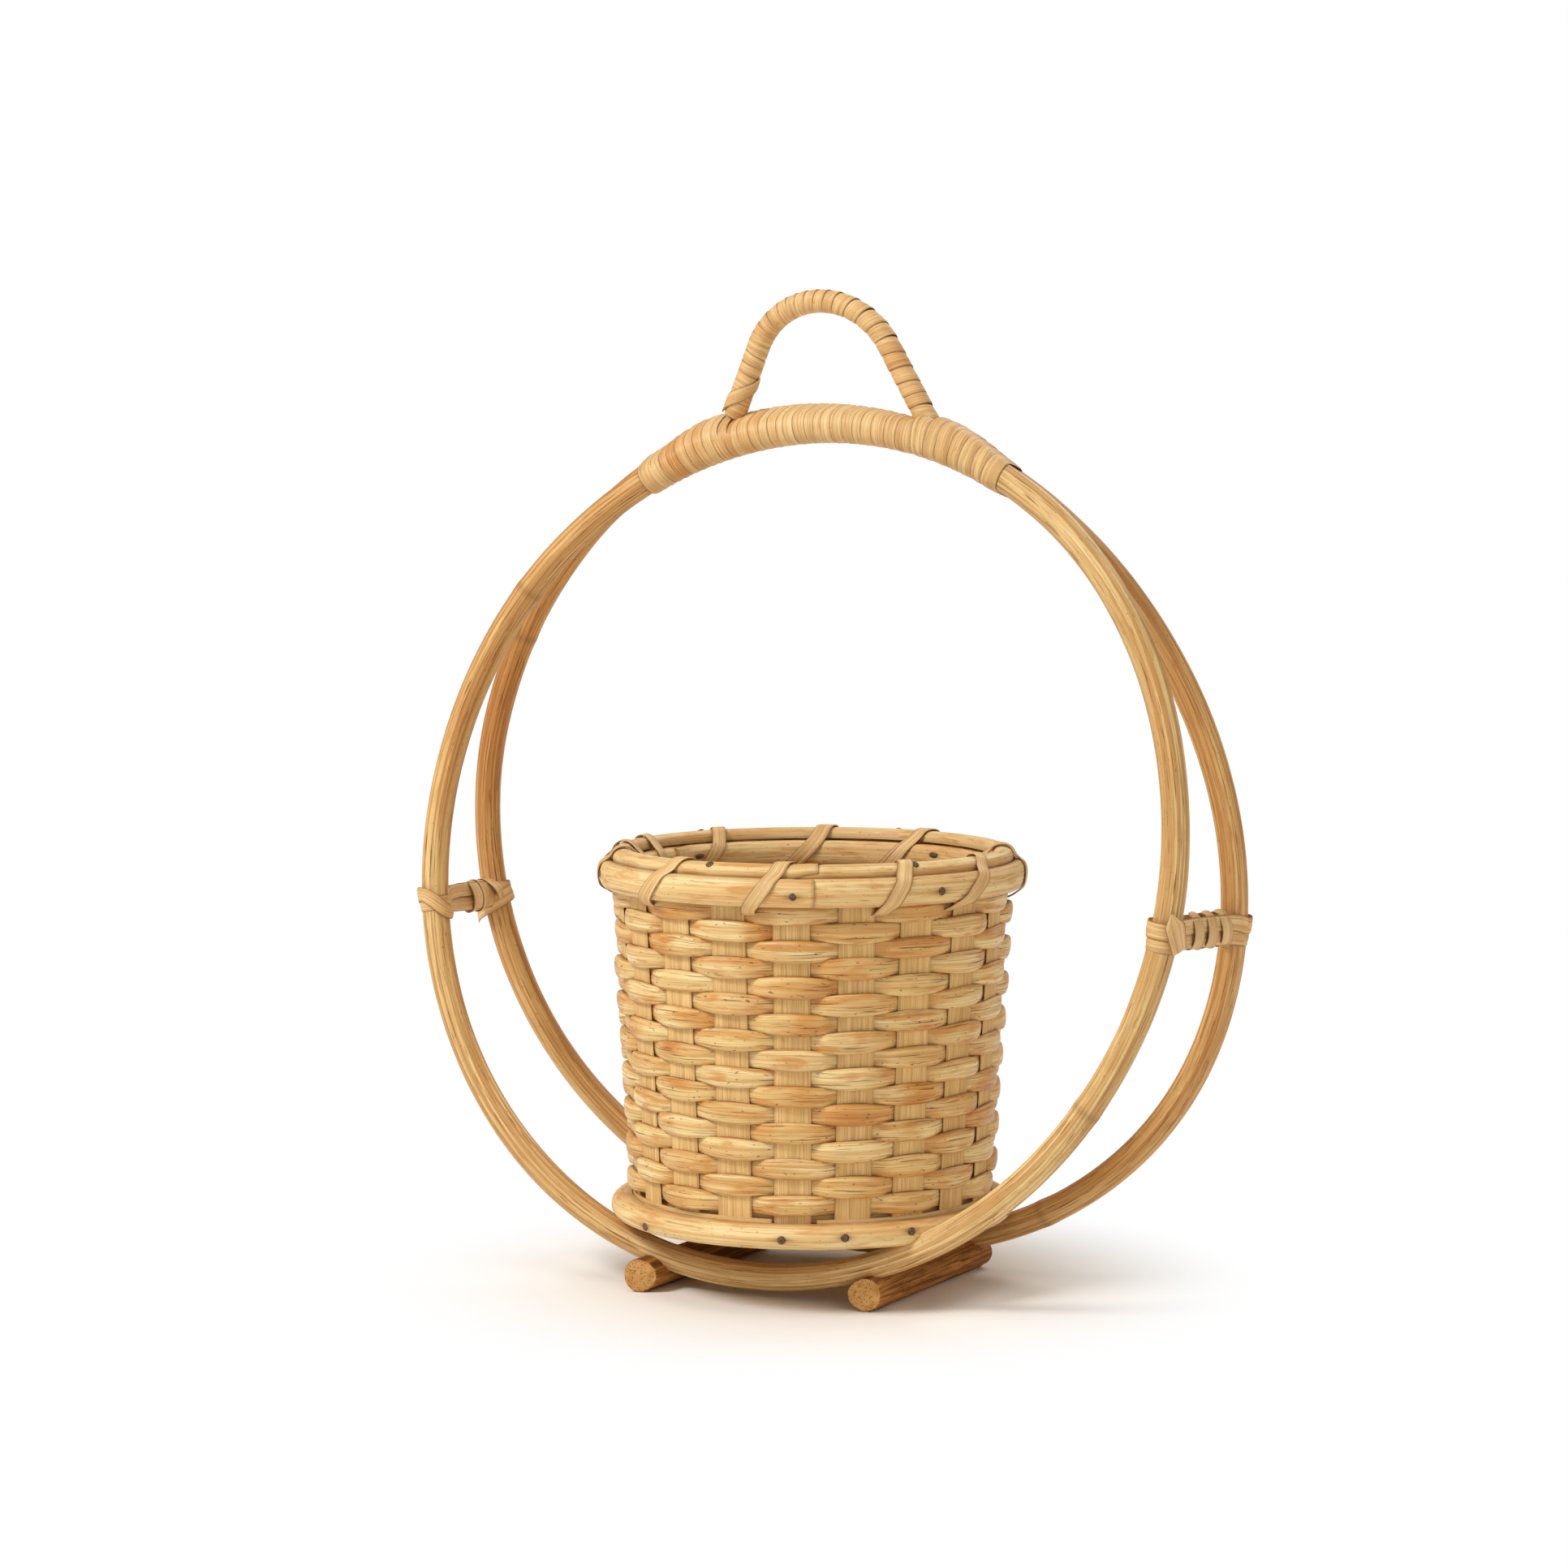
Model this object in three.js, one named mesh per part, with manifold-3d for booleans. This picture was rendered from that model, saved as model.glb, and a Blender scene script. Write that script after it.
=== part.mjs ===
// Rattan planter basket: a round woven basket that stands inside two bent rattan hoops.
// Millimetres, +Z up, +Y to the back. The origin is on the floor under the middle of the hoops.

import * as THREE from 'three';
import { mergeVertices } from 'three/addons/utils/BufferGeometryUtils.js';
import Module from 'manifold-3d';

const wasm = await Module();
wasm.setup();

// Driving sizes

const gap = 0.3; // air between pieces that touch on the real basket
const poleDiameter = 9.6; // the bent poles of both hoops
const peelThickness = 0.8; // the split outer skin of the cane, used for winding and sewing

// Feet: two short poles that lie front to back under the hoops
const footDiameter = 12;
const footLength = 89;
const footEndChamfer = 1;
const leftFoot = { x: -43, y: -5, turn: -2.5 };
const rightFoot = { x: 41, y: 0, turn: -2.5 };

// Hoops: each bent by hand, so a little oval and a little three-sided
const hoopRadius = 145;
const backHoopExtra = 1.7; // the back hoop is this much larger
const frontHoop = {
  side: -1,
  middleX: 0,
  radius: hoopRadius,
  ovalBulge: 4,
  ovalTilt: 58,
  lobeBulge: 0.3,
  lobeTilt: -39,
  seatDepth: 2.8, // how far it sinks into the notches in the feet
};
const backHoop = {
  side: 1,
  middleX: 0.2,
  radius: hoopRadius + backHoopExtra,
  ovalBulge: 1.9,
  ovalTilt: -68,
  lobeBulge: 2.35,
  lobeTilt: -33,
  seatDepth: 3.6,
};
const hoopSpread = { leftTie: 40, rightTie: 52, bottom: 76 }; // between the hoops' centre lines

// Basket wall
const basketX = -2;
const stakeCount = 20;
const firstStakeAngle = 2.4;
const stakeWidth = 12;
const stakeThickness = 1.2;
const stakeLift = 1.2; // the stakes start this far above the bottom of the base band
const footOfWallRadius = 60.3; // centre of the stakes at the bottom of the basket
const wallLean = 3.08; // degrees that the wall leans outwards
const rowCount = 17;
const rowPitch = 6.1;
const lowestRowClearance = 1.3; // from the base band to the lowest row
const weaverHeight = 8;
const weaverHeightInGap = 5.8; // pressed flatter where neighbouring rows cross
const weaverThickness = 3;
const weaverFaceShare = 0.6; // the outer face is lower than the inner one, as on a half-round cane

// Base
const baseBandHeight = 8.9;
const baseBandThickness = 8.3;
const baseBandNotchDepth = 1.3; // how far the hoops sink into the base band
const floorThickness = 7;
const floorLift = 0.8;
const baseBandShares = [ // of the band's thickness and height
  [0, 0.14], [0.3, 0], [0.75, 0.09], [1, 0.36], [1, 0.64], [0.75, 0.91], [0.3, 1], [0, 0.86],
];

// Rim
const rimBandHeight = 9.5;
const rimOuterBandThickness = 3.2;
const rimInnerBandThickness = 3.8;
const rimStripWidth = 7;
const rimStripHeight = 4.5;
const shoulderShare = 0.65; // how far out the shoulders of a half-round rim band are
const crownShare = 0.3; // its crown starts this far up
const stripShares = [ // of half the strip's width, of its height
  [-0.6, 0], [0.6, 0], [1, 0.4], [0.6, 1], [-0.6, 1], [-1, 0.4],
];
const lashingWidth = 4.4;
const lashingDriftWidth = 2.6; // a stitch leans this far while it passes through the wall
const lashingSlant = 10.5; // degrees that a stitch leans over on the outside of the rim
const firstStitchGap = 12; // the gap between stakes that the first stitch leaves from
// Gaps between stakes from stitch to stitch
const lashingSteps = [1, 2, 2, 1, 2, 1, 2, 1, 2, 2, 1, 2, 1];
const lashingShares = [ // of the stitch's lean on the outside, of its way to the next gap on the inside
  [0, 0], [0.12, 0], [0.3, 0], [0.6, 0], [0.75, 0], [0.85, 0], [0.95, 0],
  [1, 0.05], [1, 0.15], [1, 0.25], [1, 0.4], [1, 0.7], [1, 0.88],
];

// Top binding, which holds both hoops together
const bindingFrom = 119; // degrees along the hoops
const bindingTo = 61;
const bindingTurns = 24;
const bindingWidth = 5.2;
const bindingClearance = 0.75; // the strip lies a little looser than the rest

// Hanging loop
const loopCoreDiameter = 5.4;
const loopTopRadius = 24;
const loopSplay = 31; // degrees that each leg leans outwards
const loopRise = 37.5; // from the top of the binding to the top of the cane
const loopX = 4;
const loopLean = -3.3; // the top stands this far to the left of its legs
const loopWrapTurns = 20;
const loopWrapWidth = 3.9;

// Ties at the sides, which hold the hoops apart
const leftTieAngle = 190;
const rightTieAngle = -9;
const tieStrapWidth = 6;
const tieStrapThickness = 1;
const tieStrapClearance = 0.75; // the strap lies this far off the poles
const tieWaistThickness = 3.2; // the strap's two runs are drawn together to this, between their centre lines
const tieWrapWidth = 3.4;
const leftTieWrapTurns = 3;
const rightTieWrapTurns = 4;
const tieWrapPitch = 4.6;
const strapBend = 210; // degrees that the strap goes round a pole

// Facets
const hoopSteps = 48;
const hoopSides = 8;
const bandSteps = 40;
const footSides = 12;
const notchFrom = 210; // degrees: the part of a hoop, a third of it, that sits in notches
const bindingTurnSteps = 12;
const loopSteps = 24;
const loopSides = 8;
const loopWrapTurnSteps = 8;
const tieWrapTurnSteps = 12;
const strapBendSteps = 6;
const halvings = 40;
const smallStep = 1e-3;

const poleRadius = poleDiameter / 2;
const radians = THREE.MathUtils.degToRad;

// Solids

// Turns the faces of a closed skin outwards.
function facesOut(geometry) {
  const points = geometry.attributes.position;
  const index = geometry.index.array;
  const corner = (i) => new THREE.Vector3().fromBufferAttribute(points, index[i]);
  let volume = 0;
  for (let i = 0; i < index.length; i += 3) {
    volume += corner(i).dot(corner(i + 1).cross(corner(i + 2)));
  }
  if (volume < 0) {
    for (let i = 0; i < index.length; i += 3) {
      [index[i], index[i + 1]] = [index[i + 1], index[i]];
    }
  }
  geometry.computeVertexNormals();
  return geometry;
}

// Joins rings of points into one closed skin. A closed run meets its own start, an open one has flat ends.
// evenSplit cuts the quads of both wide sides of a ribbon along the same diagonal, so that it can twist.
function skin(rings, closedRun, evenSplit = false) {
  const sides = rings[0].length;
  const faces = [];
  const joins = closedRun ? rings.length : rings.length - 1;
  for (let i = 0; i < joins; i += 1) {
    for (let j = 0; j < sides; j += 1) {
      const here = i * sides;
      const next = ((i + 1) % rings.length) * sides;
      const k = (j + 1) % sides;
      if (evenSplit && j >= sides / 2) {
        faces.push(here + j, here + k, next + j, here + k, next + k, next + j);
      } else {
        faces.push(here + j, here + k, next + k, here + j, next + k, next + j);
      }
    }
  }
  if (!closedRun) {
    const last = (rings.length - 1) * sides;
    for (let j = 1; j < sides - 1; j += 1) {
      faces.push(0, j + 1, j, last, last + j, last + j + 1);
    }
  }
  const geometry = new THREE.BufferGeometry();
  const points = rings.flat().flatMap((p) => p.toArray());
  geometry.setAttribute('position', new THREE.Float32BufferAttribute(points, 3));
  geometry.setIndex(faces);
  return facesOut(geometry);
}

// A ring round the Z axis from a closed outline of [radius, height] points.
function turnedRing(outline, steps) {
  const points = [...outline, outline[0]].map(([r, z]) => new THREE.Vector2(r, z));
  const lathe = new THREE.LatheGeometry(points, steps);
  lathe.rotateX(Math.PI / 2);
  return facesOut(weld(lathe));
}

function weld(geometry) {
  const bare = geometry.clone();
  bare.deleteAttribute('normal');
  bare.deleteAttribute('uv');
  return mergeVertices(bare);
}

function toSolid(geometry) {
  const welded = weld(geometry);
  const vertProperties = Float32Array.from(welded.attributes.position.array);
  const triVerts = Uint32Array.from(welded.index.array);
  return new wasm.Manifold(new wasm.Mesh({ numProp: 3, vertProperties, triVerts }));
}

function toGeometry(solid) {
  const { vertProperties, triVerts, numProp } = solid.getMesh();
  const points = [];
  for (let i = 0; i < vertProperties.length; i += numProp) {
    points.push(vertProperties[i], vertProperties[i + 1], vertProperties[i + 2]);
  }
  const geometry = new THREE.BufferGeometry();
  geometry.setAttribute('position', new THREE.Float32BufferAttribute(points, 3));
  geometry.setIndex(Array.from(triVerts));
  return facesOut(geometry);
}

// The corners of a flat strip at a point of its middle line.
function stripCorners(point, along, normal, width, thickness) {
  const across = new THREE.Vector3().crossVectors(along, normal).setLength(width / 2);
  const up = normal.clone().setLength(thickness / 2);
  const corner = (a, b) => point.clone().addScaledVector(across, a).addScaledVector(up, b);
  return [corner(-1, -1), corner(1, -1), corner(1, 1), corner(-1, 1)];
}

// A flat strip wound along something. place(share, turnAngle) gives a point of its middle line and the
// outward normal.
function woundStrip(place, turns, stepsPerTurn, width, thickness) {
  const steps = turns * stepsPerTurn;
  const at = (step) => place(step / steps, (step / stepsPerTurn) * 2 * Math.PI);
  const rings = [];
  for (let step = 0; step <= steps; step += 1) {
    const { point, normal } = at(step);
    const before = at(step - 0.5).point;
    const after = at(step + 0.5).point;
    rings.push(stripCorners(point, after.sub(before), normal, width, thickness));
  }
  return rings;
}

// The least gap between the turns of a winding, from corner to corner of turns that lie side by side.
function leastGap(rings, stepsPerTurn) {
  let least = Infinity;
  const near = Math.ceil(stepsPerTurn / 2);
  const far = Math.ceil(stepsPerTurn * 1.5);
  for (let i = 0; i < rings.length; i += 1) {
    for (let j = i + near; j <= i + far && j < rings.length; j += 1) {
      for (const a of rings[i]) {
        for (const b of rings[j]) least = Math.min(least, a.distanceTo(b));
      }
    }
  }
  return least;
}

function printGap(name, rings, stepsPerTurn) {
  console.log(`${name}: least gap to itself ${leastGap(rings, stepsPerTurn).toFixed(2)} mm`);
}

// Finishes, one for each kind of cane
const finish = (color, roughness) => new THREE.MeshStandardMaterial({ color, roughness, metalness: 0 });
const finishes = {
  pole: finish(0xdcb478, 0.5),
  foot: finish(0xb98a52, 0.7),
  weaver: finish(0xd9ab6b, 0.55),
  stake: finish(0xd3ab6d, 0.6),
  band: finish(0xe2c080, 0.5),
  peel: finish(0xe4c48c, 0.45),
  board: finish(0xb58d58, 0.8),
};

const basketFrame = new THREE.Group();
basketFrame.name = 'rattan_planter_basket';

function add(name, geometry, material, parent = basketFrame) {
  const mesh = new THREE.Mesh(geometry, finishes[material]);
  mesh.name = name;
  parent.add(mesh);
  return mesh;
}

// Hoops

function hoopRadiusAt(hoop, angle) {
  const oval = hoop.ovalBulge * Math.cos(2 * radians(angle - hoop.ovalTilt));
  const lobe = hoop.lobeBulge * Math.cos(3 * radians(angle - hoop.lobeTilt));
  return hoop.radius + oval + lobe;
}

// How far the hoop's centre line lies below its middle, at a place beside the middle.
function hoopDrop(hoop, x) {
  let low = -179;
  let high = -1;
  for (let i = 0; i < halvings; i += 1) {
    const angle = (low + high) / 2;
    const reached = hoop.middleX + hoopRadiusAt(hoop, angle) * Math.cos(radians(angle));
    if (reached < x) low = angle;
    else high = angle;
  }
  return -hoopRadiusAt(hoop, low) * Math.sin(radians(low));
}

for (const hoop of [frontHoop, backHoop]) {
  const drop = (hoopDrop(hoop, leftFoot.x) + hoopDrop(hoop, rightFoot.x)) / 2;
  hoop.middleHeight = footDiameter - hoop.seatDepth + poleRadius + drop;
}

// Half the distance between the hoops, from the top, where the poles touch, to the bottom.
function halfSpread(hoop, x, z) {
  const down = THREE.MathUtils.clamp((hoop.middleHeight + hoop.radius - z) / (2 * hoop.radius), 0, 1);
  const right = THREE.MathUtils.clamp((x + hoop.radius) / (2 * hoop.radius), 0, 1);
  const top = poleDiameter + gap;
  const tie = THREE.MathUtils.lerp(hoopSpread.leftTie, hoopSpread.rightTie, right);
  const topShare = (1 - down) * (1 - 2 * down);
  const tieShare = 4 * down * (1 - down);
  const bottomShare = down * (2 * down - 1);
  return (top * topShare + tie * tieShare + hoopSpread.bottom * bottomShare) / 2;
}

function hoopPoint(hoop, angle) {
  const r = hoopRadiusAt(hoop, angle);
  const x = hoop.middleX + r * Math.cos(radians(angle));
  const z = hoop.middleHeight + r * Math.sin(radians(angle));
  return new THREE.Vector3(x, hoop.side * halfSpread(hoop, x, z), z);
}

function hoopDirection(hoop, angle) {
  return hoopPoint(hoop, angle + smallStep).sub(hoopPoint(hoop, angle - smallStep)).normalize();
}

// The square section through both hoops at an angle: a point of each and the directions across and along.
function pairSection(angle) {
  const along = hoopDirection(frontHoop, angle).add(hoopDirection(backHoop, angle)).normalize();
  const middle = hoopPoint(frontHoop, angle).lerp(hoopPoint(backHoop, angle), 0.5);
  const [front, back] = [frontHoop, backHoop].map((hoop) => {
    let there = angle;
    for (let i = 0; i < halvings; i += 1) {
      const miss = hoopPoint(hoop, there).sub(middle).dot(along);
      there -= THREE.MathUtils.radToDeg(miss / hoop.radius);
    }
    return hoopPoint(hoop, there);
  });
  return { front, back, along, across: back.clone().sub(front).normalize() };
}

// One ring of points round the pole, with its first point towards the outside of the hoop.
function poleRing(hoop, angle, radius, sides) {
  const middle = hoopPoint(hoop, angle);
  const along = hoopDirection(hoop, angle);
  const outward = new THREE.Vector3(Math.cos(radians(angle)), 0, Math.sin(radians(angle)));
  const across = new THREE.Vector3().crossVectors(along, outward).normalize();
  outward.crossVectors(across, along);
  return Array.from({ length: sides }, (_, i) => {
    const turn = (i / sides) * 2 * Math.PI;
    return middle.clone()
      .addScaledVector(outward, radius * Math.cos(turn))
      .addScaledVector(across, radius * Math.sin(turn));
  });
}

function hoopGeometry(hoop) {
  const ring = (_, i) => poleRing(hoop, (i / hoopSteps) * 360, poleRadius, hoopSides);
  const rings = Array.from({ length: hoopSteps }, ring);
  return skin(rings, true);
}

// The lower third of a hoop, thicker by the gap, which cuts the notches that it sits in.
function hoopCutter(hoop) {
  const rings = [];
  for (let i = 0; i <= hoopSteps / 3; i += 1) {
    rings.push(poleRing(hoop, notchFrom + (i / hoopSteps) * 360, poleRadius + gap, hoopSides));
  }
  return toSolid(skin(rings, false));
}

add('front_hoop', hoopGeometry(frontHoop), 'pole');
add('back_hoop', hoopGeometry(backHoop), 'pole');
const hoopCutters = [hoopCutter(frontHoop), hoopCutter(backHoop)];

function notchForHoops(geometry) {
  return toGeometry(hoopCutters.reduce((solid, cutter) => solid.subtract(cutter), toSolid(geometry)));
}

// Feet: each stands on a flat and is notched where the hoops sit in it.
function footGeometry(foot) {
  const cornerRadius = footDiameter / 2 / Math.cos(Math.PI / footSides);
  const ring = (y, radius) => Array.from({ length: footSides }, (_, i) => {
    const turn = ((i + 0.5) / footSides) * 2 * Math.PI;
    return new THREE.Vector3(radius * Math.sin(turn), y, radius * Math.cos(turn));
  });
  const end = footLength / 2;
  const rings = [
    ring(-end, cornerRadius - footEndChamfer),
    ring(-end + footEndChamfer, cornerRadius),
    ring(end - footEndChamfer, cornerRadius),
    ring(end, cornerRadius - footEndChamfer),
  ];
  const pole = skin(rings, false);
  pole.rotateZ(radians(foot.turn));
  pole.translate(foot.x, foot.y, footDiameter / 2);
  return notchForHoops(pole);
}

add('left_foot', footGeometry(leftFoot), 'foot');
add('right_foot', footGeometry(rightFoot), 'foot');

// The inside radius of a band of flat facets that stays clear of what it goes round
function radiusClearOf(corner, steps) {
  return (corner + gap) / Math.cos(Math.PI / steps);
}

// Heights of the basket, from the four places where its base band crosses the hoops

const wallTaper = Math.tan(radians(wallLean));
const stakeOutside = footOfWallRadius + baseBandHeight * wallTaper + stakeThickness / 2;
const baseBandInside = radiusClearOf(Math.hypot(stakeOutside, stakeWidth / 2), bandSteps);
const baseBandRadius = baseBandInside + baseBandThickness;
const hoopY = hoopSpread.bottom / 2;
const seatReach = Math.sqrt(baseBandRadius ** 2 - hoopY ** 2);
const seatHeights = [frontHoop, backHoop].flatMap((hoop) => [-1, 1].map((side) => (
  hoop.middleHeight - hoopDrop(hoop, basketX + side * seatReach) + poleRadius
)));
const seatHeight = seatHeights.reduce((sum, height) => sum + height, 0) / seatHeights.length;
const baseBottom = seatHeight - baseBandNotchDepth;
const baseBandTop = baseBottom + baseBandHeight;
const wallRadius = (z) => footOfWallRadius + (z - baseBottom) * wallTaper;
const lowestRow = baseBandTop + lowestRowClearance + weaverHeight / 2;
const rowHeights = Array.from({ length: rowCount }, (_, i) => lowestRow + (rowCount - 1 - i) * rowPitch);
const halfOpening = (Math.PI * wallRadius(rowHeights[0])) / stakeCount - stakeWidth / 2;
const stitchShare = Math.min(1, (lashingWidth / 2 + lashingDriftWidth) / halfOpening);
const rowHalfAtStitch = THREE.MathUtils.lerp(weaverHeightInGap, weaverHeight, stitchShare) / 2;
const lashingHeight = rowHeights[0] + rowHalfAtStitch + gap + peelThickness / 2;
const rimBottom = lashingHeight + peelThickness / 2 + gap;
const rimTop = rimBottom + rimBandHeight;
const rimRowHeight = lashingHeight + peelThickness / 2 + gap + rowHalfAtStitch;
const stakeTop = rimTop - gap;
const stripBottom = rimTop + gap;
// From the stakes' middle to a weaver's middle
const weaveSwing = (stakeThickness + weaverThickness) / 2 + gap;

const basket = new THREE.Group();
basket.position.x = basketX;
basketFrame.add(basket);

// Stakes: flat and straight, leaning outwards, with room between them for the weavers to cross
function stakeGroup(i) {
  const bottom = baseBottom + stakeLift;
  const length = (stakeTop - bottom) / Math.cos(radians(wallLean));
  const middle = (stakeTop + bottom) / 2;
  const turned = new THREE.Group();
  turned.rotation.z = radians(firstStakeAngle + (i * 360) / stakeCount);
  const name = `stake_${String(i + 1).padStart(2, '0')}`;
  const mesh = add(name, new THREE.BoxGeometry(stakeThickness, stakeWidth, length), 'stake', turned);
  mesh.position.set(wallRadius(middle), 0, middle);
  mesh.rotation.y = radians(wallLean);
  basket.add(turned);
}
for (let i = 0; i < stakeCount; i += 1) stakeGroup(i);

// Weaver rows: each passes outside one stake and inside the next, and is squeezed where rows cross.
function weaverRow(height, firstSide) {
  const stations = [];
  const half = stakeWidth / 2 + gap;
  for (let i = 0; i < stakeCount; i += 1) {
    const angle = radians(firstStakeAngle + (i * 360) / stakeCount);
    const out = new THREE.Vector3(Math.cos(angle), Math.sin(angle), 0);
    const along = new THREE.Vector3(-Math.sin(angle), Math.cos(angle), 0);
    const side = i % 2 === 0 ? firstSide : -firstSide;
    const reach = wallRadius(height) + side * weaveSwing;
    for (const edge of [-half, half]) {
      const middle = out.clone().multiplyScalar(reach).addScaledVector(along, edge);
      stations.push({ middle, out, tall: weaverHeight });
    }
  }
  const squeezed = [];
  stations.forEach((station, i) => {
    squeezed.push(station);
    if (i % 2 === 1) {
      const next = stations[(i + 1) % stations.length];
      const middle = station.middle.clone().lerp(next.middle, 0.5);
      squeezed.push({ middle, out: middle.clone().normalize(), tall: weaverHeightInGap });
    }
  });
  const rings = squeezed.map(({ middle, out, tall }) => [
    [-1, -1], [-1, 1], [1, weaverFaceShare], [1, -weaverFaceShare],
  ].map(([a, b]) => {
    const rise = (b * tall) / 2;
    const point = middle.clone().addScaledVector(out, (a * weaverThickness) / 2 + rise * wallTaper);
    point.z = height + rise;
    return point;
  }));
  return skin(rings, true);
}

rowHeights.forEach((height, i) => {
  const name = `weaver_row_${String(i + 1).padStart(2, '0')}`;
  add(name, weaverRow(height, i % 2 === 0 ? 1 : -1), 'weaver', basket);
});
add('rim_weaver_row', weaverRow(rimRowHeight, -1), 'weaver', basket);

// Base: a round board inside the stakes and a half-round cane outside them
function floorGeometry() {
  const bottom = baseBottom + floorLift;
  const radius = wallRadius(bottom) - stakeThickness / 2 - gap;
  const board = new THREE.CylinderGeometry(radius, radius, floorThickness, bandSteps);
  board.rotateX(Math.PI / 2);
  board.translate(0, 0, bottom + floorThickness / 2);
  return board;
}

function baseBandGeometry() {
  const outline = baseBandShares.map(([out, up]) => [
    baseBandInside + out * baseBandThickness,
    baseBottom + up * baseBandHeight,
  ]);
  const ring = turnedRing(outline, bandSteps);
  ring.translate(basketX, 0, 0);
  return notchForHoops(ring);
}

add('basket_floor', floorGeometry(), 'board', basket);
add('base_band', baseBandGeometry(), 'band');

// Rim: a half-round cane on each side of the wall and a flat-oval cane over the stakes' ends
const rowLean = (weaverHeight / 2) * wallTaper;
const rimRowReach = wallRadius(rimRowHeight) + weaveSwing + weaverThickness / 2 + rowLean;
const rowCorner = Math.hypot(rimRowReach, stakeWidth / 2 + gap);
const outerBandInside = radiusClearOf(rowCorner, bandSteps);
const rimOuterRadius = outerBandInside + rimOuterBandThickness;
const innerBandOutside = wallRadius(rimBottom) - weaveSwing - weaverThickness / 2 - gap;
const innerBandInside = innerBandOutside - rimInnerBandThickness;

function halfRound(flat, crown) {
  const shoulder = THREE.MathUtils.lerp(flat, crown, shoulderShare);
  const crownStart = rimBandHeight * crownShare;
  const chamfer = gap;
  return turnedRing([
    [flat, rimBottom],
    [shoulder, rimBottom + chamfer],
    [crown, rimBottom + crownStart],
    [crown, rimTop - crownStart],
    [shoulder, rimTop - chamfer],
    [flat, rimTop],
  ], bandSteps);
}

const stripMiddle = wallRadius(rimTop);
function rimStripGeometry() {
  const outline = stripShares.map(([out, up]) => [
    stripMiddle + (out * rimStripWidth) / 2,
    stripBottom + up * rimStripHeight,
  ]);
  return turnedRing(outline, bandSteps);
}

add('rim_outer_band', halfRound(outerBandInside, rimOuterRadius), 'band', basket);
add('rim_inner_band', halfRound(innerBandOutside, innerBandInside), 'band', basket);
add('rim_top_strip', rimStripGeometry(), 'band', basket);

// Lashing: one strip sewn round the rim. Each stitch comes out between two stakes under the outer band,
// leans to the right on its way up, goes over the top and comes down inside to the next chosen gap.
const lashingOff = gap + peelThickness / 2;
function lashingTurn() {
  const outer = rimOuterRadius + lashingOff;
  const inner = innerBandInside - lashingOff;
  const top = stripBottom + rimStripHeight + lashingOff + gap / 2;
  const low = rimBottom + rimBandHeight / 4;
  const high = rimTop - rimBandHeight / 4;
  const shoulder = THREE.MathUtils.lerp(outerBandInside, rimOuterRadius, shoulderShare);
  const innerShoulder = THREE.MathUtils.lerp(innerBandOutside, innerBandInside, shoulderShare);
  const stripSide = rimStripWidth / 2 + lashingOff + gap;
  const stripFlat = 0.4 * rimStripWidth;
  const stripHeight = stripBottom + rimStripHeight / 2;
  return [
    [wallRadius(lashingHeight), lashingHeight],
    [shoulder, lashingHeight],
    [outer, low],
    [outer, high],
    [shoulder + lashingOff, rimTop + lashingOff],
    [stripMiddle + stripSide, stripHeight],
    [stripMiddle + stripFlat, top],
    [stripMiddle - stripFlat, top],
    [stripMiddle - stripSide, stripHeight],
    [innerShoulder - lashingOff, rimTop + lashingOff],
    [inner, high],
    [inner, low],
    [innerShoulder, lashingHeight],
  ];
}

function lashingGeometry() {
  const outline = lashingTurn();
  const pitch = 360 / stakeCount;
  const path = [];
  let gapIndex = firstStitchGap;
  for (const step of lashingSteps) {
    const start = firstStakeAngle + (gapIndex + 0.5) * pitch;
    const inside = step * pitch - lashingSlant;
    outline.forEach(([r, z], i) => {
      const [outShare, inShare] = lashingShares[i];
      const angle = radians(start + lashingSlant * outShare + inside * inShare);
      path.push(new THREE.Vector3(r * Math.cos(angle), r * Math.sin(angle), z));
    });
    gapIndex += step;
  }
  const rings = path.map((point, i) => {
    const before = path[(i + path.length - 1) % path.length];
    const after = path[(i + 1) % path.length];
    const along = after.clone().sub(before);
    const out = new THREE.Vector3(point.x, point.y, 0).normalize();
    const outwards = along.dot(out);
    const normal = out.clone().multiplyScalar(along.z);
    normal.z -= outwards;
    return stripCorners(point, along, normal, lashingWidth, peelThickness);
  });
  printGap('rim_lashing', rings, outline.length);
  return skin(rings, true, true);
}

add('rim_lashing', lashingGeometry(), 'peel', basket);

// Binding: one strip of peel wound round both hoops at the top
const bindingRadius = poleRadius + bindingClearance + peelThickness / 2;
function bindingPlace(share, turnAngle) {
  const angle = THREE.MathUtils.lerp(bindingFrom, bindingTo, share);
  const { front, back, along, across } = pairSection(angle);
  const up = new THREE.Vector3().crossVectors(across, along).normalize();
  const normal = across.clone().multiplyScalar(Math.cos(turnAngle)).addScaledVector(up, Math.sin(turnAngle));
  const middle = Math.cos(turnAngle) > 0 ? back : front;
  return { point: middle.addScaledVector(normal, bindingRadius), normal };
}

function bindingGeometry() {
  const place = (share, turnAngle) => bindingPlace(share, turnAngle + Math.PI / bindingTurnSteps);
  const rings = woundStrip(place, bindingTurns, bindingTurnSteps, bindingWidth, peelThickness);
  printGap('top_binding', rings, bindingTurnSteps);
  return skin(rings, false);
}

add('top_binding', bindingGeometry(), 'peel');

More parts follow.
